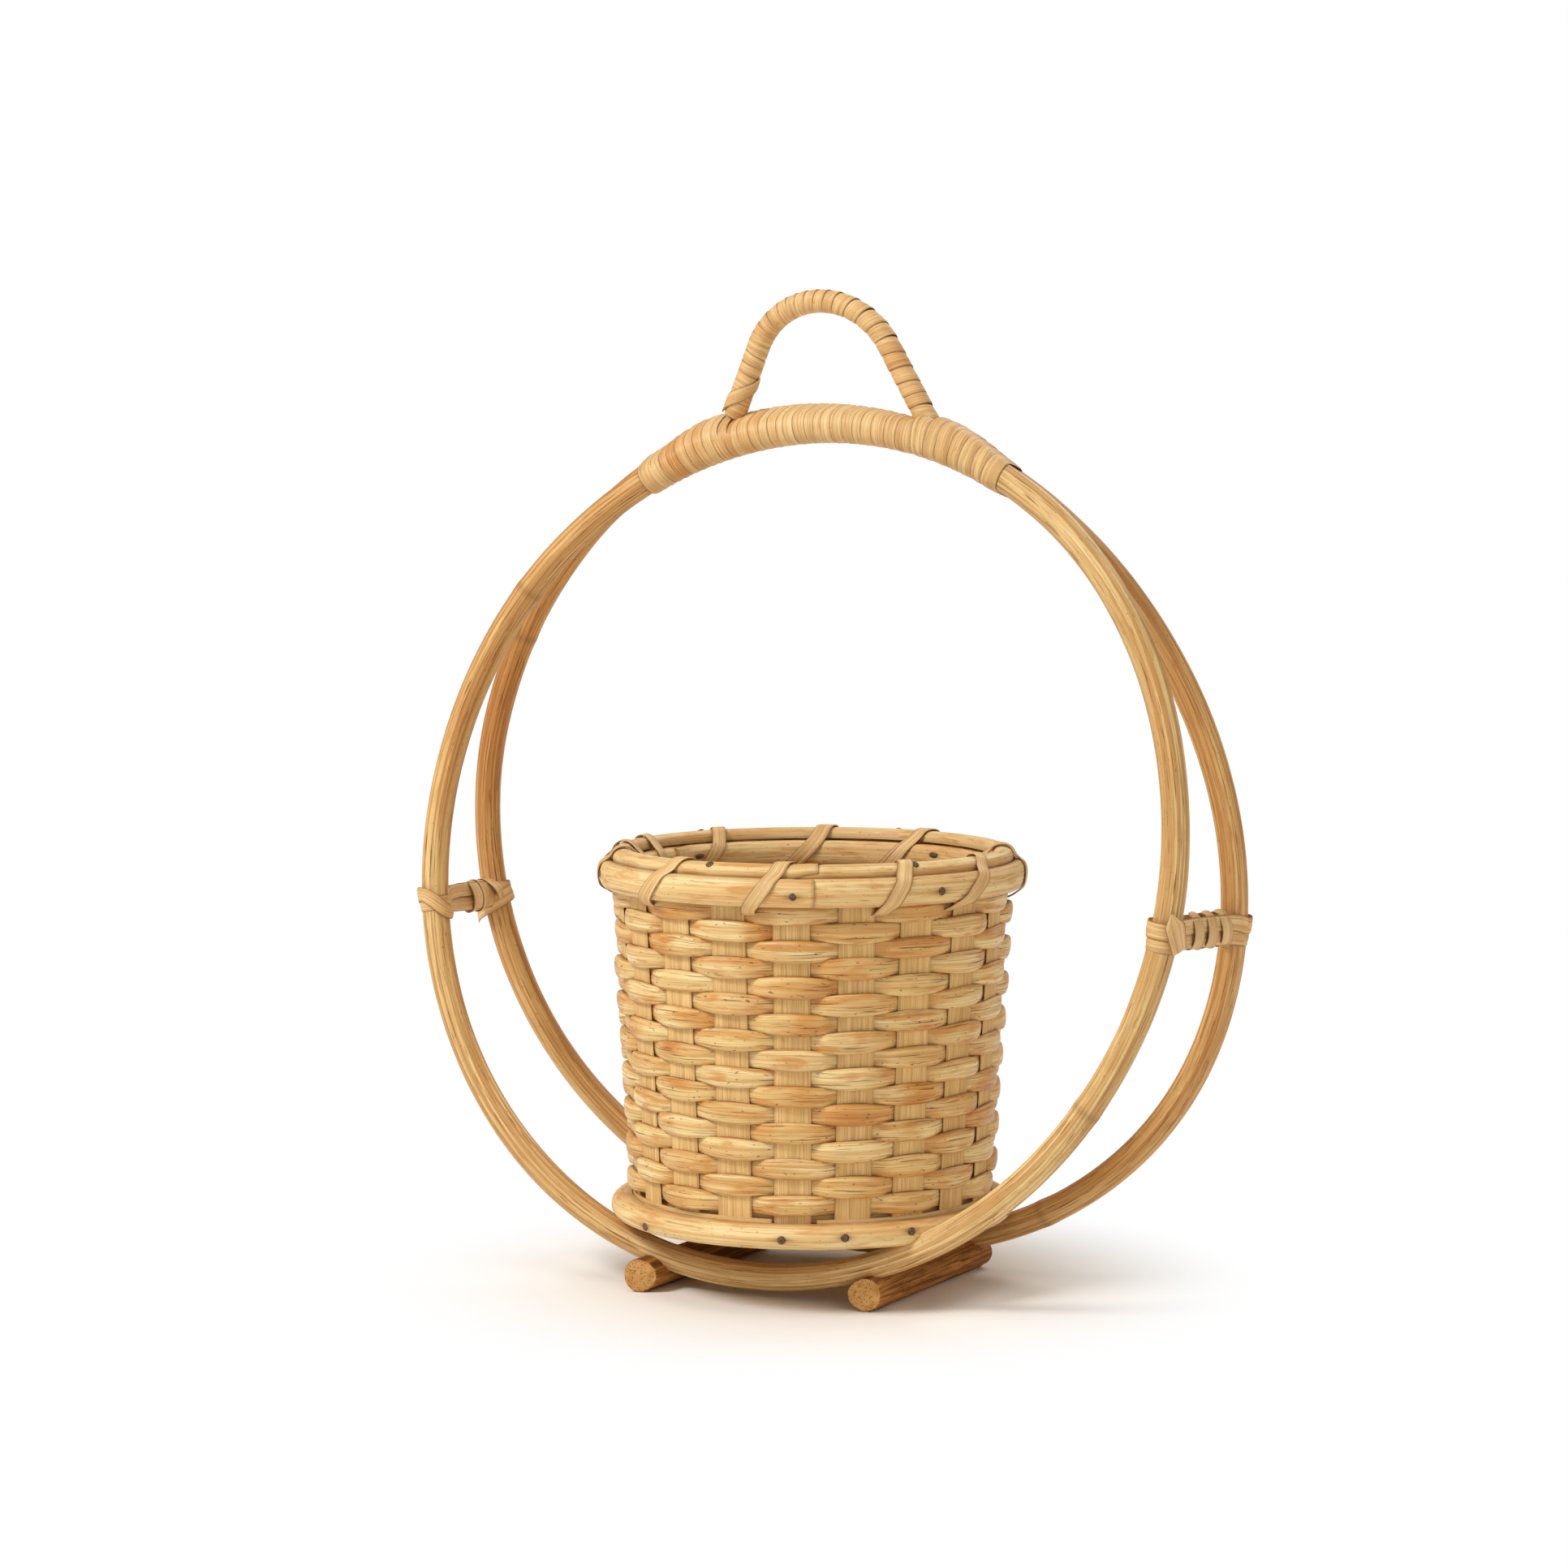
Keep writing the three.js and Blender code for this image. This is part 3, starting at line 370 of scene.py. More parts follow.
def lay_cane(name, rings, closed, crown, marks=(), tans=()):
    """Joins rings of points, in mm, into one skin, with the UV map that the cane finishes read.

    The first `crown` faces of a ring are the crown, which takes half of the way round on the UV map.
    marks and tans darken and brown the cane: one number for each ring, or one for each point of each ring.
    """
    global cane_count
    cane_count += 1
    points = np.array([[tuple(p) for p in ring] for ring in rings], dtype=float)
    count, sides = points.shape[:2]
    middles = points.mean(axis=1)
    steps = np.linalg.norm(np.roll(middles, -1, axis=0) - middles, axis=1)
    along = np.concatenate([[0.0], np.cumsum(steps)]) * MM + CANE_SHIFT * cane_count
    shares = [0.5 * j / crown if j <= crown else 0.5 + 0.5 * (j - crown) / (sides - crown)
              for j in range(sides + 1)]
    faces = []
    uvs = []
    for i in range(count if closed else count - 1):
        after = (i + 1) % count
        for j in range(sides):
            k = (j + 1) % sides
            faces.append((i * sides + j, i * sides + k, after * sides + k, after * sides + j))
            low, high = shares[j], shares[j + 1]
            uvs += [(along[i], low), (along[i], high), (along[i + 1], high), (along[i + 1], low)]
    if not closed:
        for i, turn in ((0, -1), (count - 1, 1)):
            ring = [i * sides + j for j in range(sides)][::turn]
            faces.append(tuple(ring))
            uvs += [(along[i], shares[j % sides]) for j in ring]
    mesh = bpy.data.meshes.new(name)
    mesh.from_pydata((points.reshape(-1, 3) * MM).tolist(), [], faces)
    layer = mesh.uv_layers.new(name="cane")
    layer.data.foreach_set("uv", np.array(uvs, dtype=np.float32).ravel())
    for attribute, given in (("mark", marks), ("tan", tans)):
        made = mesh.attributes.new(attribute, "FLOAT", "POINT")
        values = np.array(given if len(given) else [0.0] * count, dtype=np.float32)
        made.data.foreach_set("value", values.ravel() if values.ndim == 2 else np.repeat(values, sides))
    piece = bpy.data.objects.new(name, mesh)
    bpy.context.collection.objects.link(piece)
    skin = bmesh.new()
    skin.from_mesh(mesh)
    if skin.calc_volume(signed=True) < 0:
        bmesh.ops.reverse_faces(skin, faces=skin.faces)
    skin.to_mesh(mesh)
    skin.free()
    return piece


def round_section(radius, sides):
    turns = [2 * math.pi * i / sides for i in range(sides)]
    return [(radius * math.cos(turn), radius * math.sin(turn)) for turn in turns]


def half_round_section(width, thickness, crown, flat, fullness):
    """(out, across) points: half a cane, from one edge over its crown and back along its flat side."""
    points = []
    for i in range(crown + 1):
        turn = math.pi * (i / crown - 0.5)
        points.append((thickness * max(math.cos(turn), 0) ** fullness, width / 2 * math.sin(turn)))
    for i in range(1, flat):
        points.append((0.0, width / 2 * (1 - 2 * i / flat)))
    return points


RIBBON_FACES = 8


def ribbon_section(width, thickness):
    """(out, across) points: a flat ribbon with thin edges and two low ridges along its top."""
    top = []
    for i in range(RIBBON_FACES + 1):
        place = 2 * i / RIBBON_FACES - 1
        ridges = 0.1 * math.cos(2.5 * math.pi * place)
        top.append((thickness * (1 - 0.5 * abs(place) ** 4 + ridges), width / 2 * place))
    return top + [(0.0, y) for _, y in top[::-1][1:-1]]


def ring_of(middle, out, across, section):
    """A section's points, put at a place and turned the way that out and across say."""
    return [middle + out * a + across * b for a, b in section]


def smooth_run(points, steps, closed):
    """A Catmull-Rom curve through points, with `steps` points for each span."""
    made = []
    count = len(points)
    pick = (lambda i: points[i % count]) if closed else (lambda i: points[min(max(i, 0), count - 1)])
    for i in range(count if closed else count - 1):
        p0, p1, p2, p3 = pick(i - 1), pick(i), pick(i + 1), pick(i + 2)
        for s in range(steps):
            t = s / steps
            made.append(0.5 * (2 * p1 + (p2 - p0) * t + (2 * p0 - 5 * p1 + 4 * p2 - p3) * t * t
                               + (3 * p1 - p0 - 3 * p2 + p3) * t ** 3))
    if not closed:
        made.append(points[-1].copy())
    return made


def soft_noise(seed, count, spans):
    """A smooth closed run of `count` values between -1 and 1 with `spans` bumps."""
    dice = random.Random(seed)
    ends = [Vector((dice.uniform(-1, 1), 0, 0)) for _ in range(spans)]
    run = smooth_run(ends, 16, True)
    return [run[int(i / count * len(run)) % len(run)].x for i in range(count)]


def lay_ribbon(name, path, outs, widths, closed, nodes, tan=0.0):
    """A ribbon of peel along a path of points that it lies on, with the way out and the width at each."""
    rings = []
    last = len(path) - 1
    for i, middle in enumerate(path):
        before = path[i - 1] if closed or i else path[0]
        after = path[(i + 1) % len(path)] if closed or i < last else path[last]
        along = (after - before).normalized()
        out = outs[i].normalized()
        out = (out - along * out.dot(along)).normalized()
        rings.append(ring_of(middle, out, along.cross(out), ribbon_section(widths[i], PEEL)))
    tans = [tan] * len(rings)
    finish_piece(lay_cane(name, rings, closed, RIBBON_FACES, tans=tans), RIBBON, nodes)


# Hoops

def hoop_radius(hoop, angle):
    oval = hoop["oval"] * math.cos(2 * math.radians(angle - hoop["oval_tilt"]))
    lobe = hoop["lobe"] * math.cos(3 * math.radians(angle - hoop["lobe_tilt"]))
    return hoop["radius"] + oval + lobe


def hoop_drop(hoop, x):
    """How far the hoop's middle line lies below its middle, at a place beside the middle."""
    low, high = -179.0, -1.0
    for _ in range(40):
        angle = (low + high) / 2
        if hoop["middle_x"] + hoop_radius(hoop, angle) * math.cos(math.radians(angle)) < x:
            low = angle
        else:
            high = angle
    return -hoop_radius(hoop, low) * math.sin(math.radians(low))


for hoop in HOOPS.values():
    drop = sum(hoop_drop(hoop, foot[0]) for foot in FEET.values()) / 2
    hoop["middle_z"] = FOOT_DIAMETER - hoop["seat"] + POLE_RADIUS + drop


def half_spread(hoop, x, z):
    """Half of the distance between the hoops' middle lines: little at the top, and most at the feet."""
    down = min(max((hoop["middle_z"] + hoop["radius"] - z) / (2 * hoop["radius"]), 0), 1)
    right = min(max((x + hoop["radius"]) / (2 * hoop["radius"]), 0), 1)
    tie = LEFT_TIE_SPREAD + (RIGHT_TIE_SPREAD - LEFT_TIE_SPREAD) * right
    top = 2 * POLE_RADIUS + HOOP_GAP
    shares = ((1 - down) * (1 - 2 * down), 4 * down * (1 - down), down * (2 * down - 1))
    return (top * shares[0] + tie * shares[1] + BOTTOM_SPREAD * shares[2]) / 2


def hoop_point(hoop, angle):
    r = hoop_radius(hoop, angle)
    x = hoop["middle_x"] + r * math.cos(math.radians(angle))
    z = hoop["middle_z"] + r * math.sin(math.radians(angle))
    return Vector((x, hoop["side"] * half_spread(hoop, x, z), z))


def hoop_direction(hoop, angle):
    return (hoop_point(hoop, angle + 0.01) - hoop_point(hoop, angle - 0.01)).normalized()


def pair_section(angle):
    """A point of each hoop on one square section through both, and the directions along and across."""
    front, back = HOOPS["front"], HOOPS["back"]
    along = (hoop_direction(front, angle) + hoop_direction(back, angle)).normalized()
    middle = (hoop_point(front, angle) + hoop_point(back, angle)) / 2
    found = []
    for hoop in (front, back):
        there = angle
        for _ in range(6):
            there -= math.degrees((hoop_point(hoop, there) - middle).dot(along) / hoop["radius"])
        found.append(hoop_point(hoop, there))
    return found[0], found[1], along, (found[1] - found[0]).normalized()


def hoop_piece(side, joints, brown, more_brown):
    """A bent pole. joints are the faint ring marks where leaves grew, by angle.

    brown: how brown the pole is all round. more_brown: how much browner it is at its top left.
    """
    hoop = HOOPS[side]
    steps = 360
    sides = 28
    wander = soft_noise(side, steps, 23)
    swell = soft_noise(side + "swell", steps, 31)
    rings, marks, tans = [], [], []
    for i in range(steps):
        angle = 90 + 360 * i / steps
        middle = hoop_point(hoop, angle)
        along = hoop_direction(hoop, angle)
        out = polar(1, angle)
        out = Vector((out.x, 0, out.y))
        across = along.cross(out).normalized()
        out = across.cross(along)
        near = min(abs(turn_past(angle, joint)) for joint in joints)
        unbound = smoothstep((abs(turn_past(angle, 90)) - BOUND_REACH) / 6)
        middle += out * wander[i] * POLE_WANDER * unbound
        radius = POLE_RADIUS + JOINT_RISE * math.exp(-(near / JOINT_REACH) ** 2)
        radius += POLE_SWELL * swell[i] * unbound
        rings.append(ring_of(middle, out, across, round_section(radius, sides)))
        marks.append(0.3 if near < 0.5 else 0.0)
        tans.append(brown + more_brown * smoothstep(math.cos(math.radians(angle - TOP_LEFT)) * 2 - 1))
    piece = lay_cane(side + "_hoop_pole", rings, True, sides // 2, marks, tans)
    finish_piece(piece, POLE, [side + "_hoop"])


hoop_piece("front", (-34.8, 141.4), 0.0, 0.45)
hoop_piece("back", (-60.8, 150.0), 0.38, 0.35)


# Feet: short cut poles that carry the hoops

def foot_piece(name):
    x, y = FEET[name]
    centre = Vector((x * MM, y * MM, FOOT_DIAMETER / 2 * MM))
    deselect()
    bpy.ops.mesh.primitive_cylinder_add(vertices=40, radius=FOOT_DIAMETER / 2 * MM, depth=FOOT_LENGTH * MM,
                                        rotation=(math.pi / 2, 0, math.radians(FOOT_TURN)), location=centre)
    foot = bpy.context.object
    foot.name = name + "_pole"
    bpy.ops.object.transform_apply(location=True, rotation=True, scale=True)
    bpy.ops.object.mode_set(mode="EDIT")
    mesh = bmesh.from_edit_mesh(foot.data)
    for edge in mesh.edges:
        edge.select = len(edge.link_faces) == 2 and any(len(f.verts) > 4 for f in edge.link_faces)
    bmesh.update_edit_mesh(foot.data)
    bpy.ops.mesh.bevel(offset=FOOT_BEVEL * MM, segments=3, profile=0.6)
    bpy.ops.object.mode_set(mode="OBJECT")
    mesh = bmesh.new()
    mesh.from_mesh(foot.data)
    for step in range(1, FOOT_SLICES):
        level = (y - FOOT_LENGTH / 2 + FOOT_LENGTH * step / FOOT_SLICES) * MM
        everything = mesh.verts[:] + mesh.edges[:] + mesh.faces[:]
        bmesh.ops.bisect_plane(mesh, geom=everything, plane_co=(0, level, 0), plane_no=(0, 1, 0))
    layer = mesh.loops.layers.uv.new("cane")
    phase = random.Random(name).uniform(0, 6)
    for vert in mesh.verts:
        down = (vert.co.y / MM - y) / (FOOT_LENGTH / 2)
        beside = math.sin(math.radians(-FOOT_TURN)) * (vert.co.y - y * MM)
        middle = Vector((x * MM + beside, vert.co.y, centre.z))
        away = vert.co - middle
        turn = math.atan2(away.z, away.x)
        # the pole is a little uneven all round, apart from the strip that it stands on
        lump = 1 - 0.03 * (1 + math.sin(3 * turn + phase + 2 * down)) * (away.z > -5.5 * MM)
        # the saw has cut the front end a little askew
        askew = 0.28 * away.x * smoothstep((-down - 0.8) / 0.15)
        vert.co = middle + Vector((away.x * lump, askew, away.z * lump))
    for face in mesh.faces:
        face.material_index = 1 if abs(face.normal.y) > 0.9 else 0
        middle = face.calc_center_median() - centre
        home = (math.atan2(middle.z, middle.x) / (2 * math.pi)) % 1
        for loop in face.loops:
            away = loop.vert.co - centre
            share = (math.atan2(away.z, away.x) / (2 * math.pi)) % 1
            share += round(home - share)
            loop[layer].uv = (loop.vert.co.y + (1 if x < 0 else 3), share)
    mesh.to_mesh(foot.data)
    mesh.free()
    foot.data.materials.append(FOOT)
    finish_piece(foot, END_GRAIN, [name])


for foot_name in FEET:
    foot_piece(foot_name)


# Basket wall

def wall_radius(z):
    return WALL_FOOT_RADIUS + (z - BASE_BOTTOM) * WALL_TAPER


def stake_angle(place):
    """The angle of a place counted in stakes. The stakes stand a little wider on the camera's side."""
    angle = FIRST_STAKE + place * 360 / STAKES
    return angle + STAKE_DRIFT * math.sin(math.radians(angle - CAMERA_SIDE)) + STAKE_OFFSET


def stake_piece(index):
    """A flat splint with ribs of uneven height along its outer face."""
    angle = stake_angle(index)
    out = polar(1, angle)
    across = UP.cross(out)
    bottom, top = BASE_BOTTOM + 1.2, RIM_BOTTOM + RIM_BAND_HEIGHT - 0.3
    section = []
    ribs = 16
    dice = random.Random(index)
    for i in range(ribs + 1):
        place = 2 * i / ribs - 1
        rib = 0.12 * dice.random()
        section.append((STAKE_THICKNESS * (0.5 - 0.35 * abs(place) ** 8) + rib, place * STAKE_WIDTH / 2))
    for place in (0.5, 0.0, -0.5):
        section.append((-STAKE_THICKNESS / 2, place * STAKE_WIDTH / 2))
    rings = []
    steps = 40
    lean = dice.uniform(-0.35, 0.35)
    for i in range(steps + 1):
        z = bottom + (top - bottom) * i / steps
        side = lean * math.sin(math.pi * i / steps)
        middle = out * wall_radius(z) + across * side + UP * z + Vector((BASKET_X, 0, 0))
        rings.append(ring_of(middle, out, across, section))
    name = "stake_%02d" % (index + 1)
    finish_piece(lay_cane(name + "_splint", rings, False, ribs), STAKE, [name])


for stake in range(STAKES):
    stake_piece(stake)


def weaver_piece(name, height, inner_stake, seed):
    """A half-round cane that goes inside inner_stake, outside the next and so on.

    It is pinched a little halfway between stakes, where it passes the rows above and below.
    """
    per_stake = 16
    crown = 12
    steps = STAKES * per_stake
    rise = soft_noise(seed * 7 + 1, steps, 26)
    fat = soft_noise(seed * 7 + 2, steps, 31)
    roll = soft_noise(seed * 7 + 3, steps, 40)
    middles, sizes = [], []
    for i in range(steps):
        place = inner_stake + i / per_stake
        swing = math.tanh(WEAVE_LEAN - WEAVE_STEEPNESS * math.cos(math.pi * i / per_stake))
        swing /= math.tanh(WEAVE_LEAN + WEAVE_STEEPNESS)
        z = height + UNEVEN * rise[i]
        proud = UNEVEN * fat[i] if swing > 0 else 0.0
        middles.append(polar(wall_radius(z) + swing * WEAVE_SWING + proud, stake_angle(place), z, BASKET_X))
        pinch = WEAVER_PINCH * math.sin(math.pi * i / per_stake) ** 4
        sizes.append((WEAVER_HEIGHT - pinch + 0.25 * fat[i], WEAVER_THICKNESS + 0.2 * fat[i]))
    rings = []
    for i, middle in enumerate(middles):
        along = middles[(i + 1) % steps] - middles[i - 1]
        along.z = 0
        out = along.cross(UP).normalized()
        tall, thick = sizes[i]
        lean = WALL_TAPER + 0.09 * roll[i]
        across = (UP + out * lean).normalized()
        out = (out - UP * lean).normalized()
        section = half_round_section(tall, thick, crown, flat=4, fullness=0.42)
        rings.append(ring_of(middle - out * (WEAVER_THICKNESS / 2), out, across, section))
    tans = [0.75 * max(brown, 0) ** 1.5 for brown in soft_noise(seed * 7 + 4, steps, 34)]
    finish_piece(lay_cane(name + "_cane", rings, True, crown, tans=tans), WEAVER, [name])


for row in range(ROWS):
    weaver_piece("weaver_row_%02d" % (row + 1), LOWEST_ROW + (ROWS - 1 - row) * ROW_PITCH, 5 + row % 2, row)
weaver_piece("rim_weaver_row", RIM_ROW, 6, 99)


# Bands: each is one cane bent to a ring, with its last end lapped over its first

MM_PER_DEGREE = 1.2  # round the basket


def band_piece(name, node, radius, z, facing, width, thickness, lap_end, lap, fullness, nails=()):
    """facing is the way the crown looks: (out, up). lap_end is the angle where the outer end stops.

    lap is how many degrees the ends overlap, or less than 0 for a gap between them. fullness is the crown's:
    the lower it is, the flatter the crown. Each nail, given by its angle and height, has a stain beside it.
    """
    steps = 360
    crown = 14
    total = 360 + lap
    push = soft_noise(name, steps + 1, 17)
    rings, marks = [], []
    for i in range(steps + 1):
        passed = total * i / steps
        left = total - passed
        angle = lap_end - left
        out = polar(1, angle)
        look = (out * facing[0] + UP * facing[1]).normalized()
        across = look.cross(out.cross(UP)).normalized()
        if facing[0] > 0:
            across = -across
        under = smoothstep(1.3 - passed / lap) if lap > 0 else 0
        over = smoothstep(1.3 - left / lap) if lap > 0 else 0
        thick = thickness * (1 - 0.5 * under - 0.35 * over)
        lift = min(0.45 * thickness, 1.7) * over + 0.12 * push[i]
        middle = polar(radius, angle, z, BASKET_X) + look * lift
        wide = width * (1 - 0.05 * under - 0.03 * over)
        ring = ring_of(middle, look, across, half_round_section(wide, thick, crown, 6, fullness))
        rings.append(ring)
        end_mark = 0.45 if left < 0.35 else 0.0
        beside = [turn_past(angle, nail) * MM_PER_DEGREE for nail, _ in nails]
        marks.append([max([end_mark] + [
            0.8 * math.exp(-(gap / NAIL_STAIN[0]) ** 2 - ((point.z - level) / NAIL_STAIN[1]) ** 2)
            for gap, (_, level) in zip(beside, nails)]) for point in ring])
    piece = lay_cane(name, rings, False, crown, marks)
    finish_piece(piece, BAND, [node] if node else [])


band_piece("base_band_cane", "base_band", radius=63.7, z=27.4, facing=(1, 0), width=8.5, thickness=7.4,
           lap_end=112.0, lap=12, fullness=0.6, nails=BASE_NAILS)
band_piece("rim_outer_band_cane", "rim_outer_band", radius=71.5, z=RIM_MIDDLE, facing=(1, 0), width=9.9,
           thickness=3.6, lap_end=-64.0, lap=7, fullness=0.6, nails=OUTER_NAILS)
band_piece("rim_inner_band_cane", "rim_inner_band", radius=62.5, z=RIM_MIDDLE, facing=(-1, 0), width=9.7,
           thickness=3.8, lap_end=171.0, lap=7, fullness=0.6, nails=INNER_NAILS)
band_piece("rim_top_strip_cane", "rim_top_strip", radius=67.1, z=150.35, facing=(0.12, 1), width=7.4,
           thickness=4.2, lap_end=-62.8, lap=6, fullness=0.62)
# a thin strip shows just above the base band, and another round the edge of the floor, between the stakes
band_piece("base_backing_strip", None, radius=62.7, z=28.6, facing=(1, 0), width=8.6, thickness=0.8,
           lap_end=-76.9, lap=-14, fullness=0.3)
band_piece("floor_edge_strip", None, radius=58.6, z=33.0, facing=(1, 0), width=3.8, thickness=1.5,
           lap_end=60.0, lap=8, fullness=0.6)


# Lashing round the rim: one ribbon, sewn through the gaps between the stakes

def lashing_piece():
    path_round_rim = [  # radius, height, share of the lean outside, share of the way to the next gap inside
        (68.2, 137.6, 0, 0), (70.9, 138.7, 0.04, 0), (72.8, 140.0, 0.1, 0), (74.2, 141.2, 0.18, 0),
        (74.95, 142.8, 0.28, 0), (75.2, 145.3, 0.42, 0), (74.95, 147.8, 0.56, 0), (73.9, 149.6, 0.64, 0),
        (72.3, 150.8, 0.72, 0), (70.9, 152.3, 0.8, 0), (69.5, 154.2, 0.88, 0), (67.4, 154.9, 0.94, 0),
        (65.0, 154.5, 1, 0.02), (63.2, 152.9, 1, 0.05), (61.2, 150.9, 1, 0.1), (59.4, 149.2, 1, 0.16),
        (58.6, 147.3, 1, 0.23), (58.35, 145.3, 1, 0.31), (58.6, 143.2, 1, 0.4), (59.4, 141.3, 1, 0.5),
        (61.0, 139.6, 1, 0.63), (62.6, 138.2, 1, 0.78), (65.0, 137.1, 1, 0.92),
    ]
    points, outs = [], []
    for stitch, (gap, beside, most_lean) in enumerate(STITCHES):
        start = stake_angle(gap + 0.5) + beside
        next_gap, next_beside, _ = STITCHES[(stitch + 1) % len(STITCHES)]
        end = stake_angle(next_gap + 0.5) + next_beside + (360 if next_gap < gap else 0)
        for i, (r, z, lean, inner) in enumerate(path_round_rim):
            leaning = start + most_lean * lean
            angle = leaning + (end - leaning) * inner
            points.append(polar(r, angle, z, BASKET_X))
            r0, z0 = path_round_rim[i - 1][:2]
            r1, z1 = path_round_rim[(i + 1) % len(path_round_rim)][:2]
            slope = Vector((r1 - r0, z1 - z0)).normalized()
            outs.append(polar(slope.y, angle, -slope.x))
    path = smooth_run(points, 3, True)
    widths = [LASHING_WIDTH + 0.5 * push for push in soft_noise("lashing", len(path), 40)]
    lay_ribbon("rim_lashing_ribbon", path, smooth_run(outs, 3, True), widths, True, ["rim_lashing"])


lashing_piece()


# Windings: a ribbon wound round and round, each turn lapping the one before

def between(values, place):
    """The value at a place in a list, counted from its start, also between two of its numbers."""
    first = int(place)
    return values[first] + (values[first + 1] - values[first]) * (place % 1)


def wind(name, place, turns, width, lap, nodes, seed, browning, hand=1):
    """place(share, turn) gives a point under the ribbon and the way out there. hand is the way it winds.

    lap is how much further out one edge of the ribbon lies than the other. browning(share) is how brown the
    ribbon may be at that share of the winding.
    """
    steps_per_turn = 32
    nudge = 0.2  # of a step, to find the ribbon's direction
    steps = int(turns * steps_per_turn)
    dice = random.Random(seed)
    widths = [width * dice.uniform(0.9, 1.06) for _ in range(int(turns) + 2)]
    slips = [dice.uniform(-0.3, 0.3) for _ in range(int(turns) + 2)]
    browns = [dice.uniform(0, 1) ** 2 for _ in range(int(turns) + 2)]
    rings, tans = [], []
    for i in range(steps + 1):
        now = i / steps_per_turn
        share = i / steps + between(slips, now) / turns
        middle, out = place(share, hand * now * 2 * math.pi)
        before = place(share - nudge / steps, hand * (now - nudge / steps_per_turn) * 2 * math.pi)[0]
        after = place(share + nudge / steps, hand * (now + nudge / steps_per_turn) * 2 * math.pi)[0]
        along = (after - before).normalized()
        out = (out - along * out.dot(along)).normalized()
        across = along.cross(out)
        tilt = hand * math.atan2(lap, width)
        leaning = (across * math.cos(tilt) + out * math.sin(tilt)).normalized()
        out = (out * math.cos(tilt) - across * math.sin(tilt)).normalized()
        section = ribbon_section(between(widths, now), PEEL)
        rings.append(ring_of(middle + out * lap / 2, out, leaning, section))
        tans.append(between(browns, now) * browning(share))
    finish_piece(lay_cane(name, rings, False, RIBBON_FACES, tans=tans), RIBBON, nodes)


# The hanging loop: a bent cane with peel wound round it

LOOP_ARC = math.pi / 2 - LOOP_SPLAY
LOOP_ARC_LENGTH = LOOP_RADIUS * LOOP_ARC
LOOP_ARC_DROP = LOOP_RADIUS * (1 - math.cos(LOOP_ARC))
LEFT_LEG = (LOOP_RISE + 4.2 - LOOP_ARC_DROP) / math.cos(LOOP_SPLAY)
RIGHT_LEG = (LOOP_RISE + 6.0 - LOOP_ARC_DROP) / math.cos(LOOP_SPLAY)
LOOP_LENGTH = LEFT_LEG + 2 * LOOP_ARC_LENGTH + RIGHT_LEG


def loop_point(share):
    """A point on the loop's middle line, at a share of its length from its left foot."""
    from_top = share * LOOP_LENGTH - LEFT_LEG - LOOP_ARC_LENGTH
    side = math.copysign(1, from_top)
    distance = abs(from_top)
    turn = min(distance / LOOP_RADIUS, LOOP_ARC)
    beyond = max(distance - LOOP_ARC_LENGTH, 0)
    x = side * (LOOP_RADIUS * math.sin(turn) + beyond * math.sin(LOOP_SPLAY))
    drop = LOOP_RADIUS * (1 - math.cos(turn)) + beyond * math.cos(LOOP_SPLAY)
    lean = LOOP_LEAN * (1 - drop / LOOP_RISE)
    return Vector((LOOP_X + x + lean, 0, LOOP_TOP - drop))


def loop_side(share, turn, reach):
    """A point on the loop's side and the way out there."""
    along = (loop_point(share + 0.002) - loop_point(share - 0.002)).normalized()
    across = Vector((0, 1, 0))
    normal = across * math.cos(turn) + across.cross(along) * math.sin(turn)
    return loop_point(share) + normal * reach, normal


def loop_pieces():
    steps = 48
    sides = 12
    rings = [[loop_side(i / steps, 2 * math.pi * j / sides, LOOP_CORE_RADIUS)[0] for j in range(sides)]
             for i in range(steps + 1)]
    finish_piece(lay_cane("handle_core_cane", rings, False, sides // 2), POLE, ["handle_core"])

    def place(share, turn):
        # close turns up the left leg and over the top, then wider ones down the right leg
        spread = share * 0.86 if share < 0.62 else 0.533 + (share - 0.62) * 1.229
        return loop_side(0.02 + 0.96 * spread, turn, LOOP_CORE_RADIUS + 0.5)

    wind("handle_wrap_ribbon", place, turns=27, width=6.4, lap=0.4, nodes=["handle_wrap"], seed=3,
         browning=lambda share: 0.4)
    # the end of the peel is tucked away slantwise at the loop's left foot
    steps = 12
    path, outs = [], []
    for i in range(steps + 1):
        turn = math.radians(70 + 200 * i / steps)
        point, normal = loop_side(0.14 - 0.11 * i / steps, turn, LOOP_CORE_RADIUS + 1.3)
        path.append(point)
        outs.append(normal)
    lay_ribbon("loop_tucked_end", path, outs, [4.6] * len(path), False, [])


loop_pieces()


# Top binding: one ribbon wound round both hoops

def binding_piece():
    def place(share, turn):
        # close turns on the left, then wider ones to the right
        spread = share * 0.9 if share < 0.7 else 0.63 + (share - 0.7) * 1.2333
        angle = BINDING_START - BINDING_SWEEP * spread
        front, back, along, across = pair_section(angle)
        up = across.cross(along).normalized()
        c, s = math.cos(turn), math.sin(turn)
        normal = across * c + up * s
        # the ends of the hanging loop lie under the ribbon, in the groove between the poles
        right = smoothstep((76.5 - angle) / 4) * smoothstep((angle - 61) / 10)
        left = smoothstep((angle - 101.5) / 3) * smoothstep((114 - angle) / 8)
        under = (3.2 * right + 2.4 * left) * max(s, 0) ** 2
        shift = (back - front).length / 2 * math.tanh(c * 3.2) / math.tanh(3.2)
        return (front + back) / 2 + across * shift + normal * (POLE_RADIUS + 0.15 + under), normal

    wind("top_binding_ribbon", place, turns=36, width=BINDING_WIDTH, lap=0.75, nodes=["top_binding"], seed=11,
         browning=lambda share: 0.9 - 0.6 * smoothstep((share - 0.2) / 0.35))


binding_piece()


